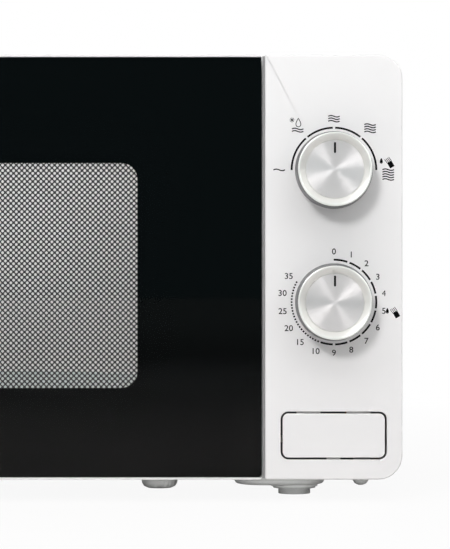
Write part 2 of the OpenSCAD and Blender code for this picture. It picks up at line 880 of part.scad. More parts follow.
module button_spring() {
    color("silver") difference() {
        rod_y(spring_x, button_z - 3, y_face + button_t, bridge_y, 2.6);
        rod_y(spring_x, button_z - 3, y_face, bridge_y + 1, 2);
    }
}

module knob(z) {
    r0 = knob_d / 2;
    r1 = r0 - knob_taper;
    top = knob_h;
    seat = top - disc_sink;
    color("silver") translate([panel_cx, y_face, z]) rotate([90, 0, 0]) {
        rotate_extrude() polygon([[r0, knob_foot_gap], [r1, top - 0.9], [r1 - 0.3, top - 0.25],
            [r1 - 0.9, top],
            [r1 - 1.5, top - 0.3], [disc_r, seat], [disc_r, seat - disc_t], [0, seat - disc_t],
            [0, seat - disc_t - 2], [r1 - knob_wall - 1, seat - disc_t - 2],
                [r0 - knob_wall, knob_foot_gap]]);
        translate([0, 0, 2]) difference() {
            cylinder(h = seat - disc_t - 3, r = hub_r);
            translate([0, 0, -eps]) cylinder(h = 9.5, r = shaft_d / 2);
        }
    }
}

module knob_disc(z) {
    seat = knob_h - disc_sink;
    color("lightgray") translate([panel_cx, y_face, z]) rotate([90, 0, 0])
        translate([0, 0, seat - disc_t]) cylinder(h = disc_t, r = disc_r);
}

shaft_in = 10;

module shaft(z) {
    color("silver") rod_y(panel_cx, z, y_face - 11, body_y + shaft_in, shaft_d / 2);
}

module power_selector() {
    color("dimgray") difference() {
        block([panel_cx - 20, body_y, power_z - 20], [panel_cx + 20, body_y + 18, power_z + 20]);
        rod_y(panel_cx, power_z, body_y - eps, body_y + shaft_in + 0.2, shaft_d / 2 + bore_gap);
        for (s = [-1, 1]) block([panel_cx + s * 20 - 2, body_y + 12, power_z - 8],
                                [panel_cx + s * 20 + 2, body_y + 19, power_z + 8]);
    }
}

timer_t = 28;

module timer_body() {
    color("gray") difference() {
        union() {
            block([panel_cx - 23, body_y, timer_z - 24], [panel_cx + 23, body_y + 2, timer_z + 24]);
            block([panel_cx - 21, body_y + 2, timer_z - 22], [panel_cx + 21, body_y + timer_t, timer_z + 22]);
            block([panel_cx - 8, body_y + 8, timer_z - 30], [panel_cx + 8, body_y + 20, timer_z - 22]);
        }
        rod_y(panel_cx, timer_z, body_y - eps, body_y + shaft_in + 0.2, shaft_d / 2 + bore_gap);
    }
}

module timer_bell() {
    y0 = body_y + timer_t;
    color("silver") translate([panel_cx, y0, timer_z]) rotate([-90, 0, 0]) rotate_extrude()
        polygon([[0, 0], [3, 0], [3, 9], [15, 9], [18, 7], [19, 4], [20, 4], [19, 8],
            [15.5, 10.2], [0, 10.2]]);
}

// ---------- interlock ----------

finger_y0 = hook_tip - 8;
finger_t = 3;
slider_x0 = board_x + board_t + run_gap;
slider_t = 3;
slider_z0 = stalk_z + 2 + run_gap;
slider_ya = button_ax_y + stalk_reach - 6;
slider_yb = finger_y0 + 5;

module latch_board() {
    color("lightgray") difference() {
        union() {
            block([board_x, y_flange + sheet, z_low + 14], [board_x + board_t, board_y1, z_low + 200]);
            for (z = hook_z) {
                block([hook_x0 - 1, catch_y, z - hook_h / 2 - 9.4],
                      [board_x, catch_y + ledge_t, z - hook_h / 2 - 0.4]);
                block([hook_x0 - 1, y_flange + sheet, z - hook_h / 2 - 9.4],
                      [board_x, catch_y, z - hook_h / 2 - barb - 2.5]);
            }
            for (z = [z_low + 26, z_low + 100, z_low + 192])
                block([board_x - 9, y_flange + sheet, z], [board_x, y_flange + 2 * sheet + 1, z + 7]);
        }
        for (z = hook_z)
            block([board_x - 1, finger_y0 - 1, z - hook_h / 2 - barb - finger_t - 1.5],
                  [board_x + board_t + 1, finger_y0 + 6, z - hook_h / 2 - barb + latch_travel + 1]);
        for (z = [z_low + 120, z_low + 150]) rod_x(board_y1 - 14, z, board_x - 1, board_x + 4, 6);
    }
}

// the slider that the button's arm lifts, and which lifts both hooks
module release_slider() {
    color("ivory") {
        block([slider_x0, slider_ya, slider_z0], [slider_x0 + slider_t, slider_yb, hook_z[1] - 4]);
        block([slider_x0, slider_ya, slider_z0], [stalk_x + stalk_w, slider_yb, slider_z0 + 3]);
        for (z = hook_z)
            block([hook_x0, finger_y0, z - hook_h / 2 - barb - 0.4 - finger_t],
                  [slider_x0 + 1, slider_yb, z - hook_h / 2 - barb - 0.4]);
    }
}

switch_size = [10.3, 16, 27.8];

// a snap-action switch with its plunger towards the front
module snap_switch(x, y, z) {
    difference() {
        translate([x, y, z - switch_size[2] / 2]) cube(switch_size);
        for (s = [-1, 1]) rod_x(y + 5.5 + (s > 0 ? 5 : 0), z + s * 11, x - eps, x + 11, 1.6);
    }
    block([x + 3.4, y - 1.5, z - 2], [x + 6.9, y, z + 2]);
    for (s = [-1, 0, 1]) block([x + 2, y + 16, z + s * 9 - 3.1], [x + 8, y + 21, z + s * 9 - 2.3]);
}

switch_x = board_x - switch_size[0];
switch_y = hook_tip + 1.9;

module primary_switch() {
    color("black") snap_switch(switch_x, switch_y, hook_z[1] + 4);
}

module secondary_switch() {
    color("white") snap_switch(switch_x, switch_y, hook_z[0] + 4);
}

module monitor_switch() {
    color("red") snap_switch(board_x + board_t, slider_yb + 3, hook_z[1] - 22);
}

// ---------- magnetron ----------

module magnetron_frame() {
    y0 = mag_y - mag_w / 2;
    y1 = mag_y + mag_w / 2;
    z0 = bay_z - mag_h / 2;
    z1 = bay_z + mag_h / 2;
    x1 = yoke_x + mag_l;
    color("silver") difference() {
        union() {
            block([wave_x, y0 - 6, z0 - 4], [yoke_x, y1 + 6, z1 + 4]);
            block([yoke_x, y0, z0], [x1, y1, z1]);
            block([x1, y0 + 14, z0 + 4], [x1 + filter_t, y1 - 14, z1 - 12]);
            for (s = [-1, 1]) rod_z(x1 + filter_t / 2, mag_y + s * 12, z0 - 4, z0 + 4, 4);
        }
        block([yoke_x, y0 - eps, z0 + plate_t], [x1 - plate_t, y1 + eps, z1 - plate_t]);
        rod_x(mag_y, bay_z, wave_x - eps, yoke_x + eps, 12);
        for (sy = [-1, 1], sz = [-1, 1])
            rod_x(mag_y + sy * (mag_w / 2 + 2), bay_z + sz * (mag_h / 2 - 4), wave_x - eps, yoke_x + eps, 2);
    }
}

anode_x0 = yoke_x + 11;
anode_l = 23;

module magnetron_core() {
    color("peru") {
        rod_x(mag_y, bay_z, anode_x0, anode_x0 + anode_l, anode_r);
        rod_x(mag_y, bay_z, anode_x0 + anode_l - 1, yoke_x + mag_l - plate_t, 7);
        rod_x(mag_y, bay_z, wave_x - 14, anode_x0 + 1, 8);
        translate([wave_x - 14, mag_y, bay_z]) sphere(8);
    }
}

module magnetron_magnets() {
    x1 = yoke_x + mag_l - plate_t;
    color("dimgray") for (x = [yoke_x, x1 - 9]) along_x(x, x + 9) translate([mag_y, bay_z]) difference() {
        circle(27);
        circle(11);
    }
}

module magnetron_fins() {
    color("gainsboro") for (i = [0 : 5]) along_x(anode_x0 + 1 + i * 4, anode_x0 + 2 + i * 4)
        translate([mag_y, bay_z]) difference() {
            square([mag_w - 4, mag_h - 2 * plate_t], center = true);
            circle(anode_r + bore_gap);
        }
}

module thermostat() {
    z = bay_z + mag_h / 2;
    x = yoke_x + mag_l / 2;
    color("dimgray") {
        along_z(z, z + 1) difference() {
            translate([x, mag_y]) square([12, 28], center = true);
            for (s = [-1, 1]) translate([x, mag_y + s * 11]) circle(1.7);
        }
        rod_z(x, mag_y, z + 1, z + 8, 7.5);
        for (s = [-1, 1]) block([x - 3, mag_y + s * 4 - 0.4, z + 8], [x + 3, mag_y + s * 4 + 0.4, z + 14]);
    }
}

// ---------- power supply ----------

core_l = 86;
core_h = 71;
core_w = 50;
leg_w = 28;
core_win = [15, 43];
core_x = bay_x0 + 52;
core_y = y_flange + 90;
core_z = base_top + 1.5;

module transformer_core() {
    color("gray") {
        block([core_x - core_w / 2 - 8, core_y - core_l / 2 - 5, base_top],
              [core_x + core_w / 2 + 8, core_y + core_l / 2 + 5, core_z]);
        along_x(core_x - core_w / 2, core_x + core_w / 2) difference() {
            translate([core_y - core_l / 2, core_z]) square([core_l, core_h]);
            for (s = [-1, 1]) translate([core_y + s * (leg_w + core_win[0]) / 2, core_z + core_h / 2])
                square(core_win, center = true);
        }
    }
}

module coil(z0, z1) {
    out_x = core_w / 2 + 15;
    out_y = leg_w / 2 + core_win[0] - 0.5;
    translate([core_x, core_y, 0]) along_z(z0, z1) difference() {
        round_rect(-out_x, out_x, -out_y, out_y, 12);
        square([core_w + 0.8, leg_w + 0.8], center = true);
    }
}

module transformer_coils() {
    z0 = core_z + (core_h - core_win[1]) / 2;
    z1 = z0 + core_win[1];
    color("sienna") {
        coil(z0, z0 + 18);
        coil(z1 - 22, z1);
    }
}

cap_w = 52;
cap_h = 33;
cap_l = 90;
cap_x = bay_x0 + 40;
cap_y = y_flange + 155;
cap_z = base_top + sheet + cap_h / 2;

module capacitor() {
    color("silver") {
        along_y(cap_y, cap_y + cap_l) slot2d(cap_x, cap_z, cap_w, cap_h);
        for (s = [-1, 1]) rod_y(cap_x + s * 11, cap_z, cap_y - 6, cap_y, 4.5);
        for (s = [-1, 1]) block([cap_x + s * 11 - 3, cap_y - 14, cap_z - 0.4],
                                [cap_x + s * 11 + 3, cap_y - 6, cap_z + 0.4]);
    }
}

module capacitor_clamp() {
    y0 = cap_y + cap_l / 2 - 8;
    x1 = cap_x + cap_w / 2;
    color("silver") {
        along_y(y0, y0 + 16) difference() {
            union() {
                slot2d(cap_x, cap_z, cap_w + 2 * sheet, cap_h + 2 * sheet);
                translate([cap_x, base_top]) square([cap_w / 2 + 16, sheet]);
            }
            slot2d(cap_x, cap_z, cap_w, cap_h);
        }
    }
}

diode_x = bay_x1 - 14;
diode_y = y_flange + 215;

module hv_diode() {
    color("black") {
        rod_y(diode_x, base_top + 14, diode_y, diode_y + 22, 3.6);
        rod_y(diode_x, base_top + 14, diode_y - 6, diode_y + 28, 0.8);
        rod_z(diode_x, diode_y + 28, base_top, base_top + 14.8, 1.2);
        rod_z(diode_x, diode_y + 28, base_top, base_top + 1.2, 4);
    }
}

// ---------- cooling ----------

duct_r = fan_r + 3;
duct_x1 = bay_x1 - 3;

module fan_duct() {
    color("dimgray") {
        along_y(duct_y, duct_y + duct_t) difference() {
            translate([bay_x0, bay_z - 50]) square([duct_x1 - bay_x0, 100]);
            translate([fan_x, bay_z]) circle(duct_r);
        }
        along_y(duct_y - 24, duct_y) translate([fan_x, bay_z]) difference() {
            circle(duct_r + 2.5);
            circle(duct_r);
        }
        along_y(duct_y, duct_y + duct_t) translate([fan_x, bay_z]) difference() {
            union() {
                circle(18);
                for (a = [45 : 90 : 315]) rotate(a) translate([0, -3]) square([duct_r + 1, 6]);
            }
            circle(8);
        }
    }
}

module fan_motor() {
    y0 = duct_y + duct_t;
    color("silver") difference() {
        union() {
            block([fan_x - 30, y0, bay_z - 21], [fan_x + 30, y0 + 20, bay_z + 21]);
            rod_y(fan_x, bay_z, y0 + 20, y0 + 25, 9);
            block([fan_x - 26, y0, bay_z - 35], [fan_x + 10, y0 + 20, bay_z - 21]);
        }
        rod_y(fan_x, bay_z, y0 - eps, y0 + 12, 2 + bore_gap);
    }
}

blades = 6;

module fan_blade() {
    y0 = duct_y - 20;
    color("ivory") {
        rod_y(fan_x, bay_z, y0 - 4, duct_y - 2, 10);
        rod_y(fan_x, bay_z, duct_y - 3, duct_y + duct_t + 11, 2);
        intersection() {
            translate([fan_x, y0 + 9, bay_z]) for (k = [0 : blades - 1]) rotate([0, k * 360 / blades, 0])
                rotate([0, 0, 32]) translate([-13, -0.8, 8]) cube([26, 1.6, fan_r]);
            along_y(y0, y0 + 18) translate([fan_x, bay_z]) difference() {
                circle(fan_r);
                circle(9);
            }
        }
    }
}

// ---------- mains filter ----------

pcb_y = y_flange + 52;
pcb_z = z_top - 70;
pcb = [70, 52];
pcb_x = bay_x0 + 8;

module filter_board() {
    top = pcb_x + 1.6;
    color("darkgreen") {
        along_x(pcb_x, top) difference() {
            translate([pcb_y, pcb_z]) square(pcb);
            translate([pcb_y + 5, pcb_z + 26]) circle(1.5);
        }
        for (y = [pcb_y + 5, pcb_y + pcb[0] - 5], z = [pcb_z + 5, pcb_z + pcb[1] - 5])
            rod_x(y, z, bay_x0, pcb_x, 3);
        rod_x(pcb_y + 20, pcb_z + 15, top, top + 12, 10);
        block([top, pcb_y + 38, pcb_z + 6], [top + 14, pcb_y + 56, pcb_z + 14]);
        block([top, pcb_y + 12, pcb_z + 36], [top + 4, pcb_y + 48, pcb_z + 42]);
        rod_y(top + 6, pcb_z + 39, pcb_y + 14, pcb_y + 46, 3);
        block([top, pcb_y + 52, pcb_z + 24], [top + 16, pcb_y + 66, pcb_z + 46]);
    }
}

// ---------- assembly ----------

cabinet();
rear_panel();
base_plate();
feet();
case_screws();
cord_gland();
cavity();
front_flange();
waveguide();
waveguide_cover();
lamp_holder();
lamp_bulb();
turntable_motor();
drive_coupler();
glass_turntable();
roller_ring();
roller(0);  // roller_1
roller(1);  // roller_2
roller(2);  // roller_3
upper_hinge();
lower_hinge();
door_frame();
door_glass();
door_plate();
window_film();
choke_cover();
latch_hooks();
latch_spring();
control_panel();
knob(power_z);  // power_knob
knob_disc(power_z);  // power_knob_disc
shaft(power_z);  // power_shaft
power_selector();
knob(timer_z);  // timer_knob
knob_disc(timer_z);  // timer_knob_disc
shaft(timer_z);  // timer_shaft
timer_body();
timer_bell();
release_button();
button_spring();
latch_board();
release_slider();
primary_switch();
secondary_switch();
monitor_switch();
magnetron_frame();
magnetron_fins();
magnetron_magnets();
magnetron_core();
thermostat();
transformer_core();
transformer_coils();
capacitor();
capacitor_clamp();
hv_diode();
fan_duct();
fan_motor();
fan_blade();
filter_board();
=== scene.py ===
# %% [markdown]
# # A countertop microwave oven
# The oven stands on a pale floor, seen straight from the front. The mechanism and every size come from the
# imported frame; this lesson gives the parts their moulded edges, their prints, their perforated window and
# their finishes. Everything is in metres, +Z is up and the oven's front looks along -Y.

# %% Load the frame
import math

import bmesh
import bpy
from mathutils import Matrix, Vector


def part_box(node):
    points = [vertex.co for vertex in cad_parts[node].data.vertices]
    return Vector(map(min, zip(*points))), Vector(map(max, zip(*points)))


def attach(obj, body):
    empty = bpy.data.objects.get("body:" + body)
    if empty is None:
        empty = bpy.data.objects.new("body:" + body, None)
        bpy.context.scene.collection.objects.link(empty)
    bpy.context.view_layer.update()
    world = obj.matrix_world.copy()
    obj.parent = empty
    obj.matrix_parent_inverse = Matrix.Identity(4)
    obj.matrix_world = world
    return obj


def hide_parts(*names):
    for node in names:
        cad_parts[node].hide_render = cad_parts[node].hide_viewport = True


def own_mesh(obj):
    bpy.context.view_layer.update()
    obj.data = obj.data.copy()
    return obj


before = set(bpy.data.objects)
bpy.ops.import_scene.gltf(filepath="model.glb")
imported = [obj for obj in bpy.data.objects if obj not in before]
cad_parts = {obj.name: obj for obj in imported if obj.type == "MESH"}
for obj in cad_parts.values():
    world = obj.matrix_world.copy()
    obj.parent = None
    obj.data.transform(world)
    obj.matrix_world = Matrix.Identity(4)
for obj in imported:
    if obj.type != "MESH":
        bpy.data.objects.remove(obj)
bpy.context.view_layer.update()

# %% [markdown]
# ## Places
# These places are worked out from the boxes of the frame's nodes.

# %% Name the places
MM = 0.001
panel_low, panel_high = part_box("control_panel")
face_y = panel_low.y
panel_x = (panel_low.x + panel_high.x) / 2
glass_low, glass_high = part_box("door_glass")
film_low, film_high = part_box("window_film")
plate_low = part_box("door_plate")[0]
film_margin = 6 * MM
window_low = Vector((film_low.x + film_margin, 0, film_low.z + film_margin))
window_high = Vector((film_high.x - film_margin, 0, film_high.z - film_margin))
window_round = 9.5 * MM


def middle(node):
    low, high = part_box(node)
    return (low + high) / 2


power_z = middle("power_knob").z
timer_z = middle("timer_knob").z
print("dials at", round(panel_x, 4), round(power_z, 4), round(timer_z, 4))

# %% [markdown]
# ## Camera, floor and lights
# A product shot of a flat front is taken from straight ahead with a long lens, so that the panel stays
# square and only the knobs and the feet show a little depth. The floor and the surroundings are white to
# the eye, but the glossy door only mirrors a dim room and the bright patch of floor in front of it, which
# gives black glass its soft lift towards the bottom. That patch is partly painted light: the floor's colour
# is lighter near the oven and darker further out.

# %% Camera
camera_distance = 1.5
view_height = 317.7 * MM
view_drop = 16.4926 * MM
sensor = 36.0
camera_data = bpy.data.cameras.new("shot")
camera_data.sensor_width = sensor
camera_data.lens = sensor * camera_distance / view_height
camera_data.shift_y = -view_drop / view_height
camera_data.clip_start = 0.05
camera = bpy.data.objects.new("shot", camera_data)
camera.location = (panel_high.x - 102.7 * MM, face_y - camera_distance, panel_low.z + 135.25 * MM)
camera.rotation_euler = (math.radians(90), 0, 0)
bpy.context.scene.collection.objects.link(camera)
bpy.context.scene.camera = camera
bpy.context.scene.view_settings.view_transform = "Standard"
print("lens", round(camera_data.lens, 1), "mm")

# %% Helpers for nodes
def new_material(name):
    material = bpy.data.materials.new(name)
    material.use_nodes = True
    tree = material.node_tree
    tree.nodes.clear()
    return material, tree


def add(tree, kind, **values):
    node = tree.nodes.new(kind)
    for key, value in values.items():
        if key in node.inputs:
            node.inputs[key].default_value = value
        else:
            setattr(node, key, value)
    return node


def join_up(tree, source, target):
    tree.links.new(source, target)


# %% World, floor
def make_world():
    world = bpy.data.worlds.new("studio")
    world.use_nodes = True
    tree = world.node_tree
    tree.nodes.clear()
    seen = add(tree, "ShaderNodeBackground", Color=(1, 1, 1, 1), Strength=1.0)
    room = add(tree, "ShaderNodeBackground", Color=(0.97, 0.985, 1, 1), Strength=0.3)
    bright = add(tree, "ShaderNodeBackground", Color=(0.985, 1, 0.985, 1), Strength=0.85)
    dim = add(tree, "ShaderNodeBackground", Color=(0.15, 0.23, 0.25, 1), Strength=1.0)
    mirrored = add(tree, "ShaderNodeMixShader")
    way = add(tree, "ShaderNodeTexCoord")
    ahead = add(tree, "ShaderNodeVectorMath", operation="DOT_PRODUCT")
    ahead.inputs[1].default_value = (0, -1, 0)
    flag = add(tree, "ShaderNodeMapRange", interpolation_type="SMOOTHSTEP")
    flag.inputs["From Min"].default_value = 0.93
    flag.inputs["From Max"].default_value = 0.985
    path = add(tree, "ShaderNodeLightPath")
    gloss = add(tree, "ShaderNodeMixShader")
    blend = add(tree, "ShaderNodeMixShader")
    out = add(tree, "ShaderNodeOutputWorld")
    join_up(tree, way.outputs["Generated"], ahead.inputs[0])
    join_up(tree, ahead.outputs["Value"], flag.inputs["Value"])
    join_up(tree, flag.outputs[0], mirrored.inputs[0])
    join_up(tree, bright.outputs[0], mirrored.inputs[1])
    join_up(tree, dim.outputs[0], mirrored.inputs[2])
    join_up(tree, path.outputs["Is Glossy Ray"], gloss.inputs[0])
    join_up(tree, room.outputs[0], gloss.inputs[1])
    join_up(tree, mirrored.outputs[0], gloss.inputs[2])
    join_up(tree, path.outputs["Is Camera Ray"], blend.inputs[0])
    join_up(tree, gloss.outputs[0], blend.inputs[1])
    join_up(tree, seen.outputs[0], blend.inputs[2])
    join_up(tree, blend.outputs[0], out.inputs[0])
    bpy.context.scene.world = world


def make_floor():
    bpy.ops.object.select_all(action="DESELECT")
    bpy.ops.mesh.primitive_plane_add(size=12, location=(0, 0, 0))
    floor = bpy.context.object
    floor.name = "floor"
    material, tree = new_material("floor_white")
    paint = add(tree, "ShaderNodeBsdfDiffuse")
    # painted light on the floor: its colour is lighter near the oven, darkest about a metre out and pale again
    # far off, and the glass mirrors this
    painted_floor_falloff = add(tree, "ShaderNodeValToRGB")
    stops = painted_floor_falloff.color_ramp.elements
    stops[0].position, stops[0].color = 0.12, (0.72, 0.7, 0.69, 1)
    stops[1].position, stops[1].color = 0.9, (0.85, 1, 1, 1)
    stops.new(0.3).color = (0.34, 0.35, 0.35, 1)
    fall = add(tree, "ShaderNodeMapRange")
    fall.inputs["From Max"].default_value = 4
    glow = add(tree, "ShaderNodeEmission", Color=(1, 1, 1, 1), Strength=1.0)
    path = add(tree, "ShaderNodeLightPath")
    place = add(tree, "ShaderNodeTexCoord")
    far = add(tree, "ShaderNodeVectorMath", operation="LENGTH")
    reach = add(tree, "ShaderNodeMapRange")
    reach.inputs["From Min"].default_value = 0.2
    reach.inputs["From Max"].default_value = 0.9
    reach.inputs["To Min"].default_value = 0.93
    both = add(tree, "ShaderNodeMath", operation="MULTIPLY")
    blend = add(tree, "ShaderNodeMixShader")
    out = add(tree, "ShaderNodeOutputMaterial")
    join_up(tree, place.outputs["Object"], far.inputs[0])
    join_up(tree, far.outputs["Value"], reach.inputs["Value"])
    join_up(tree, far.outputs["Value"], fall.inputs["Value"])
    join_up(tree, fall.outputs[0], painted_floor_falloff.inputs[0])
    join_up(tree, painted_floor_falloff.outputs[0], paint.inputs["Color"])
    join_up(tree, reach.outputs[0], both.inputs[0])
    join_up(tree, path.outputs["Is Camera Ray"], both.inputs[1])
    join_up(tree, both.outputs[0], blend.inputs[0])
    join_up(tree, paint.outputs[0], blend.inputs[1])
    join_up(tree, glow.outputs[0], blend.inputs[2])
    join_up(tree, blend.outputs[0], out.inputs[0])
    floor.data.materials.append(material)


make_world()
make_floor()

# %% Lights
def soft_light(name, place, aim, width, height, power, tint=(1, 1, 1)):
    data = bpy.data.lights.new(name, "AREA")
    data.shape = "RECTANGLE"
    data.size, data.size_y = width, height
    data.energy = power
    data.color = tint
    lamp = bpy.data.objects.new(name, data)
    lamp.location = place
    lamp.rotation_euler = (Vector(aim) - Vector(place)).to_track_quat("-Z", "Y").to_euler()
    bpy.context.scene.collection.objects.link(lamp)
    return lamp


aim = (0.1, face_y, 0.12)
key = soft_light("key_light", (-0.24, -1.6, 0.9), aim, 0.28, 0.28, 10.5)
fill = soft_light("fill_light", (1.25, -1.15, 0.85), aim, 0.8, 0.8, 3.2)
top = soft_light("top_light", (0.05, -0.6, 0.98), (0.05, 0.0, 0.2), 1.2, 0.7, 5.2)
back = soft_light("back_light", (-0.3, 1.6, 0.9), (0, 0.15, 0.15), 1.2, 1.0, 12)
for lamp in (key, fill, top, back):
    lamp.visible_camera = lamp.visible_glossy = False


card_distance = 1.6


def gloss_card(name, clockwise, tilt, size, power):
    """a card that only shows in gloss, so that the spun faces get their rays"""
    turn, lean = math.radians(clockwise), math.radians(tilt)
    way = Vector((math.sin(lean) * math.sin(turn), -math.cos(lean), math.sin(lean) * math.cos(turn)))
    card = soft_light(name, Vector(aim) + card_distance * way, aim, size, size, power)
    card.visible_camera = card.visible_diffuse = False
    card.visible_transmission = False
    return card


ray_tilt, ray_size = 34, 0.4
for clockwise, power in ((61, 3.8), (331, 3.6), (296, 1.3), (226, 1.6)):
    gloss_card(f"ray_card_{clockwise}", clockwise, ray_tilt, ray_size, power)
rim_card = gloss_card("rim_card", 318, 74, 0.8, 16)
rims = bpy.data.collections.new("rims")
rim_card.light_linking.receiver_collection = rims
low_fill = soft_light("low_fill", (0.1, -0.9, 0.06), (0.1, 0, 0.0), 0.9, 0.1, 5.5)
low_fill.visible_camera = low_fill.visible_glossy = False
underside = bpy.data.collections.new("underside")
for node in ("feet", "base_plate"):
    underside.objects.link(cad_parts[node])
low_fill.light_linking.receiver_collection = underside
inside_low, inside_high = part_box("cavity")
inside_x = (inside_low.x + inside_high.x) / 2
lamp_place = (inside_x, -0.05, inside_high.z - 14 * MM)
lamp_aim = (inside_x, 0.16, 0.14)
inside = soft_light("oven_lamp", lamp_place, lamp_aim, 0.26, 0.02, 0.36, (1, 0.985, 0.99))
inside.visible_camera = False
inside.visible_glossy = False

# %% [markdown]
# ## Finishes
# Each finish is a small node tree on Object coordinates. Painted and moulded surfaces get a slight
# unevenness in colour and gloss and a fine bump; metals get grain along the way they were rolled, drawn or
# turned.

# %% Finish builders
def surface(name, colour, rough, metal=0.0, grain=(900, 900, 900), relief=0.02, vary=0.04, rough_vary=0.06,
            coat=0.0, specular=0.5, cloud=18):
    """a finish with fine grain, slow unevenness of colour and of gloss, and a light bump"""
    material, tree = new_material(name)
    place = add(tree, "ShaderNodeTexCoord")
    stretch = add(tree, "ShaderNodeMapping", Scale=grain)
    fine = add(tree, "ShaderNodeTexNoise", Scale=1.0, Detail=3.0, Roughness=0.55)
    slow = add(tree, "ShaderNodeTexNoise", Scale=float(cloud), Detail=2.0)
    shade = add(tree, "ShaderNodeMapRange")
    shade.inputs["To Min"].default_value = 1 - vary
    shade.inputs["To Max"].default_value = 1 + vary
    tint = add(tree, "ShaderNodeMix", data_type="RGBA", blend_type="MULTIPLY")
    tint.inputs["Factor"].default_value = 1.0
    tint.inputs[6].default_value = (*colour, 1)
    gloss = add(tree, "ShaderNodeMapRange")
    gloss.inputs["To Min"].default_value = max(rough - rough_vary, 0.02)
    gloss.inputs["To Max"].default_value = rough + rough_vary
    bump = add(tree, "ShaderNodeBump", Strength=relief, Distance=0.0005)
    skin = add(tree, "ShaderNodeBsdfPrincipled", Metallic=metal)
    skin.inputs["Coat Weight"].default_value = coat
    skin.inputs["Specular IOR Level"].default_value = specular
    out = add(tree, "ShaderNodeOutputMaterial")
    join_up(tree, place.outputs["Object"], stretch.inputs["Vector"])
    join_up(tree, stretch.outputs[0], fine.inputs["Vector"])
    join_up(tree, place.outputs["Object"], slow.inputs["Vector"])
    join_up(tree, slow.outputs["Fac"], shade.inputs["Value"])
    join_up(tree, shade.outputs[0], tint.inputs[7])
    join_up(tree, tint.outputs[2], skin.inputs["Base Color"])
    join_up(tree, fine.outputs["Fac"], gloss.inputs["Value"])
    join_up(tree, gloss.outputs[0], skin.inputs["Roughness"])
    join_up(tree, fine.outputs["Fac"], bump.inputs["Height"])
    join_up(tree, bump.outputs[0], skin.inputs["Normal"])
    join_up(tree, skin.outputs[0], out.inputs[0])
    return material


def clear(name, tint, mirror, rough=0.02, dust=0.02):
    """glass that lets light straight through and mirrors more towards a grazing view"""
    material, tree = new_material(name)
    through = add(tree, "ShaderNodeBsdfTransparent", Color=(*tint, 1))
    shine = add(tree, "ShaderNodeBsdfGlossy", Color=(1, 1, 1, 1))
    place = add(tree, "ShaderNodeTexCoord")
    smear = add(tree, "ShaderNodeTexNoise", Scale=14.0, Detail=2.0)
    gloss = add(tree, "ShaderNodeMapRange")
    gloss.inputs["To Min"].default_value = rough
    gloss.inputs["To Max"].default_value = rough + dust
    facing = add(tree, "ShaderNodeLayerWeight", Blend=0.5)
    steep = add(tree, "ShaderNodeMath", operation="POWER")
    steep.inputs[1].default_value = 4.0
    amount = add(tree, "ShaderNodeMapRange")
    amount.inputs["To Min"].default_value = mirror
    blend = add(tree, "ShaderNodeMixShader")
    out = add(tree, "ShaderNodeOutputMaterial")
    join_up(tree, place.outputs["Object"], smear.inputs["Vector"])
    join_up(tree, smear.outputs["Fac"], gloss.inputs["Value"])
    join_up(tree, gloss.outputs[0], shine.inputs["Roughness"])
    join_up(tree, facing.outputs["Facing"], steep.inputs[0])
    join_up(tree, steep.outputs[0], amount.inputs["Value"])
    join_up(tree, amount.outputs[0], blend.inputs[0])
    join_up(tree, through.outputs[0], blend.inputs[1])
    join_up(tree, shine.outputs[0], blend.inputs[2])
    join_up(tree, blend.outputs[0], out.inputs[0])
    return material


def spun(name, colour, rough, centre, rings=2600, pull=0.88):
    """turned metal: fine rings about an axis along Y, and a highlight drawn out across them"""
    material, tree = new_material(name)
    place = add(tree, "ShaderNodeTexCoord")
    from_centre = add(tree, "ShaderNodeVectorMath", operation="SUBTRACT")
    from_centre.inputs[1].default_value = centre
    flat = add(tree, "ShaderNodeVectorMath", operation="MULTIPLY")
    flat.inputs[1].default_value = (1, 0, 1)
    radius = add(tree, "ShaderNodeVectorMath", operation="LENGTH")
    pitch = add(tree, "ShaderNodeMath", operation="MULTIPLY")
    pitch.inputs[1].default_value = rings
    ring = add(tree, "ShaderNodeTexNoise", noise_dimensions="1D", Scale=1.0, Detail=3.0)
    gloss = add(tree, "ShaderNodeMapRange")
    gloss.inputs["To Min"].default_value = rough - 0.05
    gloss.inputs["To Max"].default_value = rough + 0.08
    bump = add(tree, "ShaderNodeBump", Strength=0.06, Distance=0.0003)
    skin = add(tree, "ShaderNodeBsdfPrincipled", Metallic=0.8)
    skin.inputs["Base Color"].default_value = (*colour, 1)
    skin.inputs["Anisotropic"].default_value = pull
    out = add(tree, "ShaderNodeOutputMaterial")
    join_up(tree, place.outputs["Object"], from_centre.inputs[0])
    join_up(tree, from_centre.outputs[0], flat.inputs[0])
    join_up(tree, flat.outputs[0], radius.inputs[0])
    join_up(tree, radius.outputs["Value"], pitch.inputs[0])
    join_up(tree, pitch.outputs[0], ring.inputs["W"])
    join_up(tree, ring.outputs["Fac"], gloss.inputs["Value"])
    join_up(tree, ring.outputs["Fac"], bump.inputs["Height"])
    join_up(tree, gloss.outputs[0], skin.inputs["Roughness"])
    join_up(tree, bump.outputs[0], skin.inputs["Normal"])
    join_up(tree, flat.outputs[0], skin.inputs["Tangent"])
    join_up(tree, skin.outputs[0], out.inputs[0])
    return material


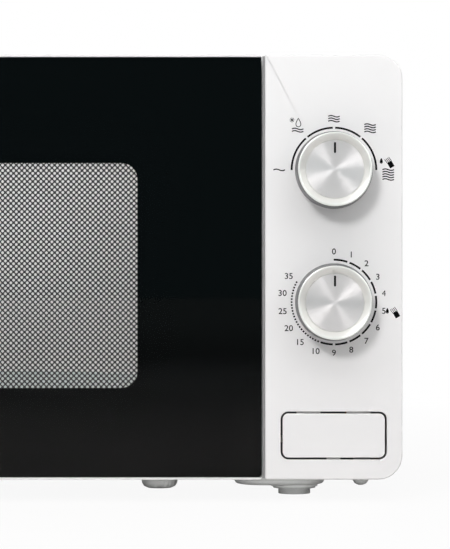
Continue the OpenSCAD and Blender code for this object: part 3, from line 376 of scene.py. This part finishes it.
# %% The finishes
white_moulding = surface("white_moulding", (0.86, 0.85, 0.85), 0.38, grain=(1400, 1400, 1400), relief=0.05,
                         vary=0.006, rough_vary=0.05)
case_paint = surface("case_paint", (0.82, 0.82, 0.81), 0.34, grain=(700, 700, 700), relief=0.08, vary=0.012,
                     rough_vary=0.05, coat=0.15)
enamel = surface("enamel", (0.80, 0.80, 0.78), 0.3, grain=(500, 500, 500), relief=0.06, vary=0.015,
                 rough_vary=0.06, coat=0.2)
screen_paint = surface("screen_paint", (0.014, 0.014, 0.014), 0.5, grain=(900, 900, 900), relief=0.08,
                       vary=0.08)
black_moulding = surface("black_moulding", (0.014, 0.014, 0.015), 0.5, grain=(1300, 1300, 1300),
                         relief=0.25,
                         vary=0.1)
black_print = surface("black_print", (0.0003, 0.0004, 0.0004), 0.8, relief=0.0, vary=0.05, specular=0.0)
grey_print = surface("grey_print", (0.0025, 0.003, 0.0035), 0.8, relief=0.02, vary=0.05, specular=0.03)
pointer_ink = surface("pointer_ink", (0.0015, 0.0015, 0.0015), 0.8, relief=0.02, vary=0.05, specular=0.0)
grey_plastic = surface("grey_plastic", (0.14, 0.14, 0.15), 0.5, grain=(1200, 1200, 1200), relief=0.2)
white_plastic = surface("white_plastic", (0.75, 0.75, 0.73), 0.45, grain=(1200, 1200, 1200), relief=0.12)
red_plastic = surface("red_plastic", (0.42, 0.03, 0.02), 0.45, relief=0.1)
# painted shade: a grey that stands for the panel's white moulding at the side of the door gap, in shade
lip_painted_shade = surface("lip_painted_shade", (0.30, 0.30, 0.30), 0.5, grain=(1200, 1200, 1200), relief=0.12)
nylon = surface("nylon", (0.78, 0.76, 0.68), 0.42, grain=(1000, 1000, 1000), relief=0.08, vary=0.03)
foot_rubber = surface("foot_rubber", (0.33, 0.335, 0.327), 0.75, grain=(1500, 1500, 1500), relief=0.35,
                      vary=0.08)
galvanised = surface("galvanised", (0.56, 0.56, 0.55), 0.4, metal=0.6, grain=(120, 240, 120), relief=0.06,
                     vary=0.14, cloud=160)
base_zinc = surface("base_zinc", (0.55, 0.555, 0.545), 0.5, metal=0.2, grain=(120, 240, 120), relief=0.06,
                    vary=0.05,
                    cloud=160)
zinc_steel = surface("zinc_steel", (0.58, 0.58, 0.57), 0.3, metal=1.0, grain=(900, 900, 900), relief=0.06)
bare_aluminium = surface("bare_aluminium", (0.72, 0.72, 0.72), 0.35, metal=1.0, grain=(200, 2500, 200),
                         relief=0.05)
copper = surface("copper", (0.62, 0.3, 0.18), 0.3, metal=1.0, grain=(400, 400, 400), relief=0.05, vary=0.1)
coil_wire = surface("coil_wire", (0.42, 0.17, 0.07), 0.3, metal=0.8, grain=(60, 60, 3200), relief=0.5,
                    vary=0.1)
core_iron = surface("core_iron", (0.16, 0.16, 0.17), 0.45, metal=0.8, grain=(2600, 60, 60), relief=0.4)
ferrite = surface("ferrite", (0.05, 0.05, 0.055), 0.6, grain=(700, 700, 700), relief=0.2)
mica = surface("mica", (0.52, 0.43, 0.31), 0.35, metal=0.15, grain=(160, 160, 160), relief=0.12, vary=0.2,
               cloud=220)
lamp_ceramic = surface("lamp_ceramic", (0.78, 0.76, 0.7), 0.55, relief=0.15)
circuit_board = surface("circuit_board", (0.03, 0.13, 0.05), 0.4, relief=0.1, vary=0.15, cloud=300)
knob_coat = surface("knob_coat", (0.86, 0.865, 0.835), 0.3, metal=0.6, grain=(1800, 1800, 1800),
                    relief=0.05,
                    vary=0.03, rough_vary=0.05)
# painted shade: a near-black metal for the knobs' side walls, which look dark only because they turn away from
# the light
shaded_knob_flank = surface("shaded_knob_flank", (0.085, 0.09, 0.095), 0.34, metal=0.85, grain=(1800, 1800, 1800),
                     relief=0.05,
                     vary=0.03)
front_glass = clear("front_glass", (0.98, 0.972, 0.982), 0.017, rough=0.01, dust=0.02)
film_clear = clear("film_clear", (0.97, 0.97, 0.97), 0.03, rough=0.08, dust=0.06)
tray_glass = clear("tray_glass", (0.9, 0.95, 0.94), 0.05, rough=0.03, dust=0.03)
bulb_glass = clear("bulb_glass", (0.97, 0.95, 0.9), 0.06, rough=0.02)
print(len(bpy.data.materials), "finishes")

# %% Dress the frame's own nodes
dress = {
    case_paint: ["cabinet"],
    enamel: ["cavity", "front_flange"],
    galvanised: ["rear_panel", "base_plate", "waveguide", "turntable_motor", "upper_hinge", "lower_hinge",
                 "magnetron_frame", "capacitor_clamp"],
    screen_paint: ["door_plate"],
    zinc_steel: ["case_screws", "latch_spring", "power_shaft", "timer_shaft", "timer_bell",
                 "button_spring"],
    foot_rubber: ["feet"],
    black_moulding: ["cord_gland", "choke_cover", "thermostat", "hv_diode"],
    mica: ["waveguide_cover"],
    lamp_ceramic: ["lamp_holder"],
    bulb_glass: ["lamp_bulb"],
    nylon: ["drive_coupler", "roller_ring", "roller_1", "roller_2", "roller_3", "latch_hooks",
            "release_slider",
            "fan_blade"],
    tray_glass: ["glass_turntable"],
    film_clear: ["window_film"],
    white_moulding: ["door_frame", "control_panel", "release_button"],
    front_glass: ["door_glass"],
    knob_coat: ["power_knob", "timer_knob", "power_knob_disc", "timer_knob_disc"],
    grey_plastic: ["power_selector", "timer_body", "primary_switch", "fan_duct"],
    white_plastic: ["secondary_switch", "latch_board"],
    red_plastic: ["monitor_switch"],
    bare_aluminium: ["magnetron_fins", "capacitor"],
    ferrite: ["magnetron_magnets"],
    copper: ["magnetron_core"],
    core_iron: ["transformer_core", "fan_motor"],
    coil_wire: ["transformer_coils"],
    circuit_board: ["filter_board"],
}
for material, nodes in dress.items():
    for node in nodes:
        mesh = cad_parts[node].data
        mesh.materials.clear()
        mesh.materials.append(material)
print(sum(len(nodes) for nodes in dress.values()), "nodes dressed")

# %% [markdown]
# ## Modelling helpers
# A piece starts as a primitive at its size and place. Its edges are then picked by where they lie and
# bevelled, and its place is moved into its mesh, so that the object itself stays at the origin.

# %% Helpers for pieces
def deselect():
    if bpy.context.object and bpy.context.object.mode != "OBJECT":
        bpy.ops.object.mode_set(mode="OBJECT")
    bpy.ops.object.select_all(action="DESELECT")


def activate(piece):
    deselect()
    piece.select_set(True)
    bpy.context.view_layer.objects.active = piece


def settle(piece):
    activate(piece)
    bpy.ops.object.transform_apply(location=True, rotation=True, scale=True)


def near(a, b, slack=0.05 * MM):
    return abs(a - b) < slack


def pick_edges(piece, test):
    """edit mode, with the edges that pass the test selected"""
    activate(piece)
    bpy.ops.object.mode_set(mode="EDIT")
    bpy.ops.mesh.select_mode(type="EDGE")
    bpy.ops.mesh.select_all(action="DESELECT")
    cage = bmesh.from_edit_mesh(piece.data)
    chosen = [edge for edge in cage.edges if test(edge.verts[0].co, edge.verts[1].co, edge)]
    for edge in chosen:
        edge.select_set(True)
    bmesh.update_edit_mesh(piece.data)
    return len(chosen)


def bevel_where(piece, test, width, steps):
    if pick_edges(piece, test):
        bpy.ops.mesh.bevel(offset=width, segments=steps, affect="EDGES", clamp_overlap=False)
    bpy.ops.object.mode_set(mode="OBJECT")


def block(name, low, high):
    deselect()
    low, high = Vector(low), Vector(high)
    bpy.ops.mesh.primitive_cube_add(size=1, location=(low + high) / 2)
    piece = bpy.context.object
    piece.name = name
    piece.scale = high - low
    settle(piece)
    return piece


def slab(name, low, high, round_left, round_right, rim=0.0):
    """a plate that faces the front, with round corners and, if rim is given, a soft front edge"""
    piece = block(name, low, high)
    for x, radius in ((low[0], round_left), (high[0], round_right)):
        bevel_where(piece, lambda a, b, e: near(a.x, x) and near(b.x, x) and near(a.z, b.z), radius, 10)
    if rim:
        bevel_where(piece, lambda a, b, e: near(a.y, low[1]) and near(b.y, low[1]), rim, 3)
    return piece


def finish_with(piece, modifier, **values):
    activate(piece)
    added = piece.modifiers.new(modifier.lower(), modifier)
    for key, value in values.items():
        setattr(added, key, value)
    bpy.ops.object.modifier_apply(modifier=added.name)


def cut(piece, tool):
    finish_with(piece, "BOOLEAN", operation="DIFFERENCE", object=tool, solver="EXACT")
    bpy.data.objects.remove(tool)


def tidy_mesh(piece, recalculate=True):
    activate(piece)
    bpy.ops.object.mode_set(mode="EDIT")
    bpy.ops.mesh.select_all(action="SELECT")
    bpy.ops.mesh.remove_doubles(threshold=1e-6)
    if recalculate:
        bpy.ops.mesh.normals_make_consistent(inside=False)
    bpy.ops.object.mode_set(mode="OBJECT")


def hand_over(piece, material, body, slot_name, *stands_for, angle=30, even=False):
    """the last step of every piece: smooth shading, its finish, its body and what it stands for"""
    activate(piece)
    bpy.ops.object.shade_smooth_by_angle(angle=math.radians(angle))
    if even:
        finish_with(piece, "WEIGHTED_NORMAL", keep_sharp=True, weight=100)
    piece.data.materials.clear()
    piece.data.materials.append(material)
    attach(piece, body)
    if stands_for:
        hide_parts(*stands_for)
    return piece


def copy_of(node, name):
    """a copy of a frame node whose loose triangles are merged, ready for its edges to be worked"""
    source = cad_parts[node]
    piece = bpy.data.objects.new(name, source.data.copy())
    bpy.context.scene.collection.objects.link(piece)
    activate(piece)
    bpy.ops.object.mode_set(mode="EDIT")
    bpy.ops.mesh.select_all(action="SELECT")
    bpy.ops.mesh.remove_doubles(threshold=2e-6)
    bpy.ops.mesh.dissolve_limited(angle_limit=math.radians(0.5))
    bpy.ops.object.mode_set(mode="OBJECT")
    return piece


def join_pieces(name, pieces):
    deselect()
    for piece in pieces:
        piece.select_set(True)
    bpy.context.view_layer.objects.active = pieces[0]
    bpy.ops.object.join()
    joined = bpy.context.object
    joined.name = name
    return joined


# %% [markdown]
# ## The moulded front
# The panel, the door frame and the button are injection mouldings. A moulding has no sharp outside corner,
# because the tool can't hold one, so a copy of each node gets a small radius along the edges of its front
# face.

# %% Panel moulding
def soft_front(node, name, body, front_y, outer, inner, outside):
    piece = copy_of(node, name)
    sharp = math.radians(50)

    def on_front(a, b, edge):
        return near(a.y, front_y) and near(b.y, front_y) and len(edge.link_faces) == 2 \
            and edge.calc_face_angle(0) > sharp

    bevel_where(piece, lambda a, b, e: on_front(a, b, e) and not outside(a), inner, 2)
    bevel_where(piece, lambda a, b, e: on_front(a, b, e) and outside(a), outer, 4)
    finish_with(piece, "TRIANGULATE", min_vertices=5)
    hand_over(piece, white_moulding, body, "white_moulding", node, angle=40)
    for face in piece.data.polygons:
        if abs(face.normal.y) > 0.9999:
            face.use_smooth = False
    return piece


panel_round = 14.5 * MM


def panel_edge(p):
    return (p.x > panel_high.x - panel_round and
            (p.z > panel_high.z - panel_round or p.z < panel_low.z + panel_round or near(p.x, panel_high.x))
            or near(p.z, panel_low.z, 1.3 * MM) or near(p.z, panel_high.z, 1.3 * MM))


panel_moulding = soft_front("control_panel", "panel_moulding", "root", face_y, 0.9 * MM, 0.3 * MM,
                            panel_edge)
button_moulding = soft_front("release_button", "button_moulding", "button", face_y, 0.5 * MM, 0.5 * MM,
                             lambda p: True)
door_moulding = soft_front("door_frame", "door_moulding", "door", face_y, 0.25 * MM, 0.25 * MM,
                           lambda p: True)
door_low, door_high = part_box("door_frame")
corner = 13.3 * MM
glass_drop = 0.55 * MM
for cut_low, cut_high in (
        ((door_low.x - MM, glass_low.z + corner), (glass_low.x + 0.1 * MM, glass_high.z - corner)),
        ((glass_high.x - 0.1 * MM, glass_low.z), (door_high.x + MM, glass_high.z)),
        ((glass_low.x + corner, glass_low.z - glass_drop), (door_high.x + MM, glass_low.z + 0.1 * MM))):
    cut(door_moulding,
        block("edge_cut", (cut_low[0], face_y - MM, cut_low[1]), (cut_high[0], glass_high.y, cut_high[1])))
# the gap lip: a strip set back between door and panel; its grey is painted shade on what is the panel's white
# side
lip_low = Vector((door_high.x + 0.45 * MM, face_y + 3.2 * MM, panel_low.z + 0.6 * MM))
gap_lip = slab("gap_lip", lip_low, (panel_low.x + 0.2 * MM, face_y + 6 * MM, panel_high.z - 0.6 * MM),
               0.3 * MM, 0.3 * MM)
hand_over(gap_lip, lip_painted_shade, "root", "grey_plastic")
print("mouldings", [len(piece.data.polygons) for piece in (panel_moulding, button_moulding, door_moulding)])

# %% The pressed bosses under the base
base = copy_of("base_plate", "pressed_base")
boss_z, boss_round = 6 * MM, 2.2 * MM
bevel_where(base, lambda a, b, e: near(a.z, boss_z) and near(b.z, boss_z) and e.is_convex
            and e.calc_face_angle(0) > math.radians(60), boss_round, 4)
hand_over(base, base_zinc, "root", "galvanised", "base_plate")
underside.objects.link(base)
print("base", len(base.data.polygons), "faces")

# %% [markdown]
# ## The door glass and its window
# The front glass is printed black on its inner face, all but the window. Behind it a steel sheet is punched
# with thousands of small holes on a lattice turned by 45 degrees, which lets light out and keeps microwaves
# in. One small cell with its hole is modelled and then repeated with two Array modifiers.

# %% Front glass and its print
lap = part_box("door_frame")[1].x - glass_high.x
edge_low = Vector((glass_low.x - lap, glass_low.y, glass_low.z - glass_drop))
edge_high = Vector((glass_high.x + lap, glass_high.y, glass_high.z))
pane = slab("front_pane", edge_low, edge_high, 13.5 * MM, 0.5 * MM, rim=0.35 * MM)
hand_over(pane, front_glass, "door", "front_glass", "door_glass", even=True)
pane.visible_shadow = False

print_t = 0.1 * MM
mask = slab("black_border", (edge_low.x + 0.02 * MM, glass_high.y - 2 * print_t, edge_low.z + 0.02 * MM),
            (edge_high.x - 0.02 * MM, glass_high.y - print_t,
             glass_high.z - 0.02 * MM), 13.5 * MM, 0.5 * MM)
opening = slab("opening", (window_low.x, glass_low.y, window_low.z),
               (window_high.x, glass_high.y + 2 * MM, window_high.z), window_round, window_round)
cut(mask, opening)
hand_over(mask, black_print, "door", "black_moulding")

# %% Perforated screen
row_pitch = 3.18 * MM
hole_r = 0.9 * MM
screen_t = 0.5 * MM


def screen_cell(name, shift):
    """a diamond of sheet with a six-sided hole: two circles, bridged"""
    deselect()
    half = row_pitch / 2
    flat = (math.radians(90), 0, 0)
    place = (shift, plate_low.y, shift)
    bpy.ops.mesh.primitive_circle_add(vertices=4, radius=half, location=place, rotation=flat)
    cell = bpy.context.object
    cell.name = name
    settle(cell)
    bpy.ops.object.mode_set(mode="EDIT")
    bpy.ops.mesh.primitive_circle_add(vertices=6, radius=hole_r, location=place, rotation=flat)
    bpy.ops.mesh.select_all(action="SELECT")
    bpy.ops.mesh.bridge_edge_loops()
    bpy.ops.object.mode_set(mode="OBJECT")
    return cell


def make_screen():
    """two cells make the repeat, and two arrays fill the window"""
    piece = join_pieces("perforated_screen",
                        [screen_cell("cell", 0), screen_cell("next_cell", row_pitch / 2)])
    counts = [math.ceil(span / row_pitch) + 1 for span in window_high - window_low]
    for count, step in ((counts[0], (row_pitch, 0, 0)), (counts[2], (0, 0, row_pitch))):
        finish_with(piece, "ARRAY", count=count, use_relative_offset=False, use_constant_offset=True,
                    constant_offset_displace=step, use_merge_vertices=True, merge_threshold=0.01 * MM)
    piece.location = (window_low.x - 0.2 * row_pitch, 0.5 * MM, window_low.z - 0.3 * row_pitch)
    settle(piece)
    tidy_mesh(piece)
    finish_with(piece, "SOLIDIFY", thickness=screen_t, offset=0)
    return piece


screen = make_screen()
hand_over(screen, screen_paint, "door", "screen_paint")
print("screen", len(screen.data.polygons), "faces", [round(v * 1000, 1) for v in screen.dimensions])

# %% The pressed door plate, opened behind the window
inner_plate = copy_of("door_plate", "pressed_plate")
window_cut = slab("window_cut", (window_low.x, plate_low.y - MM, window_low.z),
                  (window_high.x, plate_low.y + 3 * MM, window_high.z), window_round, window_round)
cut(inner_plate, window_cut)
hand_over(inner_plate, screen_paint, "door", "screen_paint", "door_plate")

# %% [markdown]
# ## The two dials
# A dial is a turned shape, so each one is drawn up from the end face of a cylinder: the face is extruded
# and scaled ring by ring along the profile. The lip and the dished ring are one piece with the flank, whose
# near-black finish is painted shade on the side wall. The face is a disc of its own, because it is spun metal
# glued into the moulded knob.

# %% Turned shapes
def turned(name, centre, profile, sides=128):
    """profile is (radius, distance out from the panel); the first ring is the back and the last one the front"""
    deselect()
    (first_r, first_h), rest = profile[0], profile[1:]
    x, z = centre
    start = (x, face_y - first_h, z)
    bpy.ops.mesh.primitive_circle_add(vertices=sides, radius=first_r, fill_type="NGON", location=start,
                                      rotation=(math.radians(90), 0, 0))
    piece = bpy.context.object
    piece.name = name
    settle(piece)
    bpy.ops.object.mode_set(mode="EDIT")
    bpy.ops.mesh.select_mode(type="FACE")
    bpy.ops.mesh.select_all(action="SELECT")
    bpy.ops.mesh.duplicate()
    last_r, last_h = first_r, first_h
    for radius, height in rest:
        bpy.ops.mesh.extrude_region_move(TRANSFORM_OT_translate={"value": (0, last_h - height, 0)})
        if radius != last_r:
            k = radius / last_r
            bpy.ops.transform.resize(value=(k, 1, k), center_override=(x, face_y - height, z))
        last_r, last_h = radius, height
    bpy.ops.object.mode_set(mode="OBJECT")
    tidy_mesh(piece)
    return piece


def rounded(corner_from, corner, corner_to, radius, steps=4):
    """points round a corner of a profile"""
    a, b, c = Vector(corner_from), Vector(corner), Vector(corner_to)
    start, stop = b + (a - b).normalized() * radius, b + (c - b).normalized() * radius
    points = []
    for k in range(steps + 1):
        t = k / steps
        points.append(tuple((1 - t) ** 2 * start + 2 * t * (1 - t) * b + t ** 2 * stop))
    return points


def knob_profile():
    foot, side, top, lip, seat = (22.5, 0.8), (21.4, 19.2), (21.2, 20.0), (20.1, 20.0), (16.9, 16.7)
    points = [(20.6, 0.8)]
    points += rounded((20.6, 0.8), foot, side, 0.5)
    points += rounded(foot, (21.38, 20.0), lip, 0.7, 5)
    points += rounded((21.38, 20.0), lip, seat, 0.45)
    points += [seat, (16.75, 16.1)]
    return [(r * MM, h * MM) for r, h in points]


# %% Dials
def make_dial(which, body):
    middle_of = middle(which + "_knob")
    centre = (middle_of.x, middle_of.z)
    knob = turned(which + "_dial", centre, knob_profile())
    hand_over(knob, knob_coat, body, "knob_silver", which + "_knob", angle=40)
    # the side-wall faces get the near-black finish: painted shade on the knob's flank
    knob.data.materials.append(shaded_knob_flank)
    for face in knob.data.polygons:
        out = Vector((face.center.x - centre[0], 0, face.center.z - centre[1]))
        if out.length > 20.7 * MM and abs(face.normal.y) < 0.5:
            face.material_index = 1
    face = turned(which + "_face", centre,
                  [(16.6 * MM, 16.0 * MM), (16.6 * MM, 16.5 * MM), (16.45 * MM, 16.62 * MM)])
    disc_finish = spun("spun_" + which, (0.9, 0.862, 0.858), 0.3, (middle_of.x, 0, middle_of.z))
    hand_over(face, disc_finish, body, "spun_disc", which + "_knob_disc")
    disc_y = face_y - 16.62 * MM
    pointer = slab(which + "_pointer", (centre[0] - 0.6 * MM, disc_y - 0.12 * MM, centre[1] + 9.3 * MM),
                   (centre[0] + 0.6 * MM, disc_y + 0.1 * MM, centre[1] + 15.5 * MM), 0.5 * MM, 0.5 * MM)
    hand_over(pointer, pointer_ink, body, "black_moulding")
    return knob


for which, body in (("power", "power_dial"), ("timer", "timer_dial")):
    dial = make_dial(which, body)
    rims.objects.link(dial)
    print(dial.name, len(dial.data.polygons), "faces")

# %% [markdown]
# ## The prints round the dials
# The marks are pad-printed ink, a few hundredths of a millimetre thick. Each stroke is a curve with a round
# section that is turned into a mesh and pressed flat against the panel, which gives ink with soft ends; the
# numbers are text, extruded by the same small amount. All the marks of one dial are joined into one piece.

# %% Strokes and numbers
ink_t = 0.05 * MM


def press_flat(piece):
    """squeezes a stroke to the thickness of ink and lays it on the panel"""
    settle(piece)
    low = min(v.co.y for v in piece.data.vertices)
    high = max(v.co.y for v in piece.data.vertices)
    k = 2 * ink_t / (high - low)
    activate(piece)
    bpy.ops.object.mode_set(mode="EDIT")
    bpy.ops.mesh.select_all(action="SELECT")
    bpy.ops.transform.resize(value=(1, k, 1), center_override=(0, (low + high) / 2, 0))
    bpy.ops.transform.translate(value=(0, face_y - (low + high) / 2, 0))
    bpy.ops.object.mode_set(mode="OBJECT")
    return piece


def stroke(points, width, closed=False, blunt=True):
    """a line of ink through the points (x, z)"""
    line = bpy.data.curves.new("stroke", "CURVE")
    line.dimensions = "3D"
    line.bevel_depth = width / 2
    line.bevel_resolution = 1
    line.use_fill_caps = blunt
    spline = line.splines.new("POLY")
    spline.points.add(len(points) - 1)
    for point, (x, z) in zip(spline.points, points):
        point.co = (x, face_y, z, 1)
    spline.use_cyclic_u = closed
    piece = bpy.data.objects.new("stroke", line)
    bpy.context.scene.collection.objects.link(piece)
    activate(piece)
    bpy.ops.object.convert(target="MESH")
    return press_flat(bpy.context.object)


def around(centre, radius, clockwise):
    turn = math.radians(clockwise)
    return centre[0] + radius * math.sin(turn), centre[1] + radius * math.cos(turn)


def arc(centre, radius, start, stop, width):
    steps = max(2, round((stop - start) / 2.5))
    return stroke([around(centre, radius, start + (stop - start) * k / steps) for k in range(steps + 1)],
                  width)


def number(text, centre, height):
    deselect()
    bpy.ops.object.text_add(location=(centre[0], face_y, centre[1]), rotation=(math.radians(90), 0, 0))
    writing = bpy.context.object
    writing.data.body = text
    writing.data.size = height / 0.7
    writing.data.space_character = 1.02
    writing.data.align_x, writing.data.align_y = "CENTER", "CENTER"
    writing.data.extrude = ink_t
    writing.data.offset = 0 if text == "4" else 0.05 * MM
    writing.data.resolution_u = 4
    bpy.ops.object.convert(target="MESH")
    piece = bpy.context.object
    piece.scale.x = 1.04
    settle(piece)
    middle_x = (min(v.co.x for v in piece.data.vertices) + max(v.co.x for v in piece.data.vertices)) / 2
    middle_z = (min(v.co.z for v in piece.data.vertices) + max(v.co.z for v in piece.data.vertices)) / 2
    piece.location = (centre[0] - middle_x, 0, centre[1] - middle_z)
    settle(piece)
    return piece


# %% Symbols
def waves(centre, count, width=6.7 * MM, pitch=1.42 * MM):
    """count level lines of a gentle wave, one above another"""
    made = []
    for row in range(count):
        z = centre[1] + (row - (count - 1) / 2) * pitch
        points = [(centre[0] + width * (k / 16 - 0.5),
                   z + 0.42 * MM * math.sin(math.tau * k / 16)) for k in range(17)]
        made.append(stroke(points, 0.78 * MM))
    return made


def drop(centre, height, width, line):
    """a drop with a pointed top, as an outline or, when the line is as wide as the drop, filled"""
    points = []
    for k in range(24):
        t = math.tau * k / 24
        points.append((centre[0] + width / 2 * math.sin(t) * math.sin(t / 2) ** 1.3,
                       centre[1] + height / 2 * math.cos(t)))
    return stroke(points, line, closed=True, blunt=False)


def full_drop(centre):
    """a small solid drop: an outline with a smaller one inside it"""
    return [drop(centre, height * MM, width * MM, 0.62 * MM) for height, width in ((2.7, 1.7), (1.5, 0.7))]


def star(centre, radius, line):
    made = []
    for k in range(4):
        turn = math.pi * k / 4 + math.pi / 2
        reach = (radius * math.cos(turn), radius * math.sin(turn))
        made.append(stroke([(centre[0] - reach[0], centre[1] - reach[1]),
                            (centre[0] + reach[0], centre[1] + reach[1])], line))
    return made


def cloth(centre, side, tilt):
    """a folded cloth: a solid rounded square with four long threads above it"""
    turn = math.radians(tilt)

    def at(u, v):
        return (centre[0] + u * math.cos(turn) - v * math.sin(turn),
                centre[1] + u * math.sin(turn) + v * math.cos(turn))

    made = [stroke([at(-side / 2, v), at(side / 2, v)], 0.85 * MM) for v in
            [(k / 5 - 0.5) * side for k in range(6)]]
    made += [stroke([at(u, side * 0.6), at(u - 0.1 * side, side * 1.5)], 0.42 * MM) for u in
             [(k / 3 - 0.5) * side * 0.95 for k in range(4)]]
    return made


# %% Marks of the power dial
mark_r, mark_w = 24.5 * MM, 1.3 * MM
power_c = (panel_x + 0.1 * MM, power_z)
half_gap = 1.55
stops = (-90 - half_gap, -40, 0, 40, 90 + half_gap)
power_marks = [arc(power_c, mark_r, start + half_gap, stop - half_gap, mark_w) for start,
               stop in zip(stops, stops[1:])]


def beside(dx, dz, centre=power_c):
    return centre[0] + dx * MM, centre[1] + dz * MM


power_marks += waves(beside(-31.7, 0.1), 1)
power_marks += waves(beside(-21.0, 23.1), 2)
power_marks += star(beside(-24.3, 29.0), 1.45 * MM, 0.38 * MM)
power_marks.append(drop(beside(-20.6, 27.5), 5.0 * MM, 3.9 * MM, 0.52 * MM))
power_marks += waves(beside(0, 29.7), 3)
power_marks += waves(beside(20.9, 24.2), 4)
power_marks += waves(beside(31.4, -2.6), 5)
power_marks += full_drop(beside(27.4, 5.3))
power_marks += cloth(beside(32.9, 3.2), 2.9 * MM, 30)
power_print = join_pieces("power_print", power_marks)
hand_over(power_print, grey_print, "root", "black_moulding")

# %% Marks of the timer dial
timer_c = (panel_x + 0.1 * MM, timer_z)
timer_marks = [arc(timer_c, mark_r, 20 * k + (1.55 if k else -0.4), 20 * k + 20 - 1.55,
                   mark_w) for k in range(10)]
for k in range(25):
    start = 202 + 4 * k
    timer_marks.append(arc(timer_c, mark_r, start - 1.15, start + 1.15, 1.15 * MM))
for k, text in enumerate(["0", "1", "2", "3", "4", "5", "6", "7", "8", "9", "10", "15", "20", "25", "30",
                          "35"]):
    reach = (29.3 if len(text) == 1 else 30.2) * MM
    timer_marks.append(number(text, around(timer_c, reach, 20 * k), 3.4 * MM))
timer_marks += full_drop(beside(30.9, -5.0, timer_c))
timer_marks += cloth(beside(36.2, -7.2, timer_c), 2.9 * MM, 30)
timer_print = join_pieces("timer_print", timer_marks)
hand_over(timer_print, grey_print, "root", "black_moulding")
print("prints", len(power_print.data.polygons), len(timer_print.data.polygons), "faces")

# %% [markdown]
# ## Springs
# In the frame the two return springs are plain sleeves. Here each is a helix of round wire: a small circle
# is spun up its axis with the Screw modifier, which is the way a coiling machine makes one.

# %% Springs
def coil_spring(node, body, along, wire, turns):
    low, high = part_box(node)
    deselect()
    bpy.ops.mesh.primitive_circle_add(vertices=8, radius=wire / 2, rotation=(math.radians(90), 0, 0))
    piece = bpy.context.object
    piece.name = node + "_coil"
    across = (high - low)[(along + 1) % 3]
    length = (high - low)[along] - wire
    piece.location = (across / 2 - wire / 2, 0, -length / 2)
    settle(piece)
    finish_with(piece, "SCREW", axis="Z", steps=20, render_steps=20, iterations=turns,
                screw_offset=length / turns,
                use_merge_vertices=True, merge_threshold=0.001 * MM)
    if along == 1:
        piece.rotation_euler.x = math.radians(90)
    piece.location = (low + high) / 2
    settle(piece)
    pick_edges(piece, lambda a, b, e: e.is_boundary)
    bpy.ops.mesh.edge_face_add()
    bpy.ops.object.mode_set(mode="OBJECT")
    tidy_mesh(piece)
    return hand_over(piece, zinc_steel, body, "shaft_steel", node)


latch_coil = coil_spring("latch_spring", "door", 2, 0.6 * MM, 8)
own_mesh(latch_coil)

button_coil = coil_spring("button_spring", "root", 1, 0.5 * MM, 5)
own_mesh(button_coil)
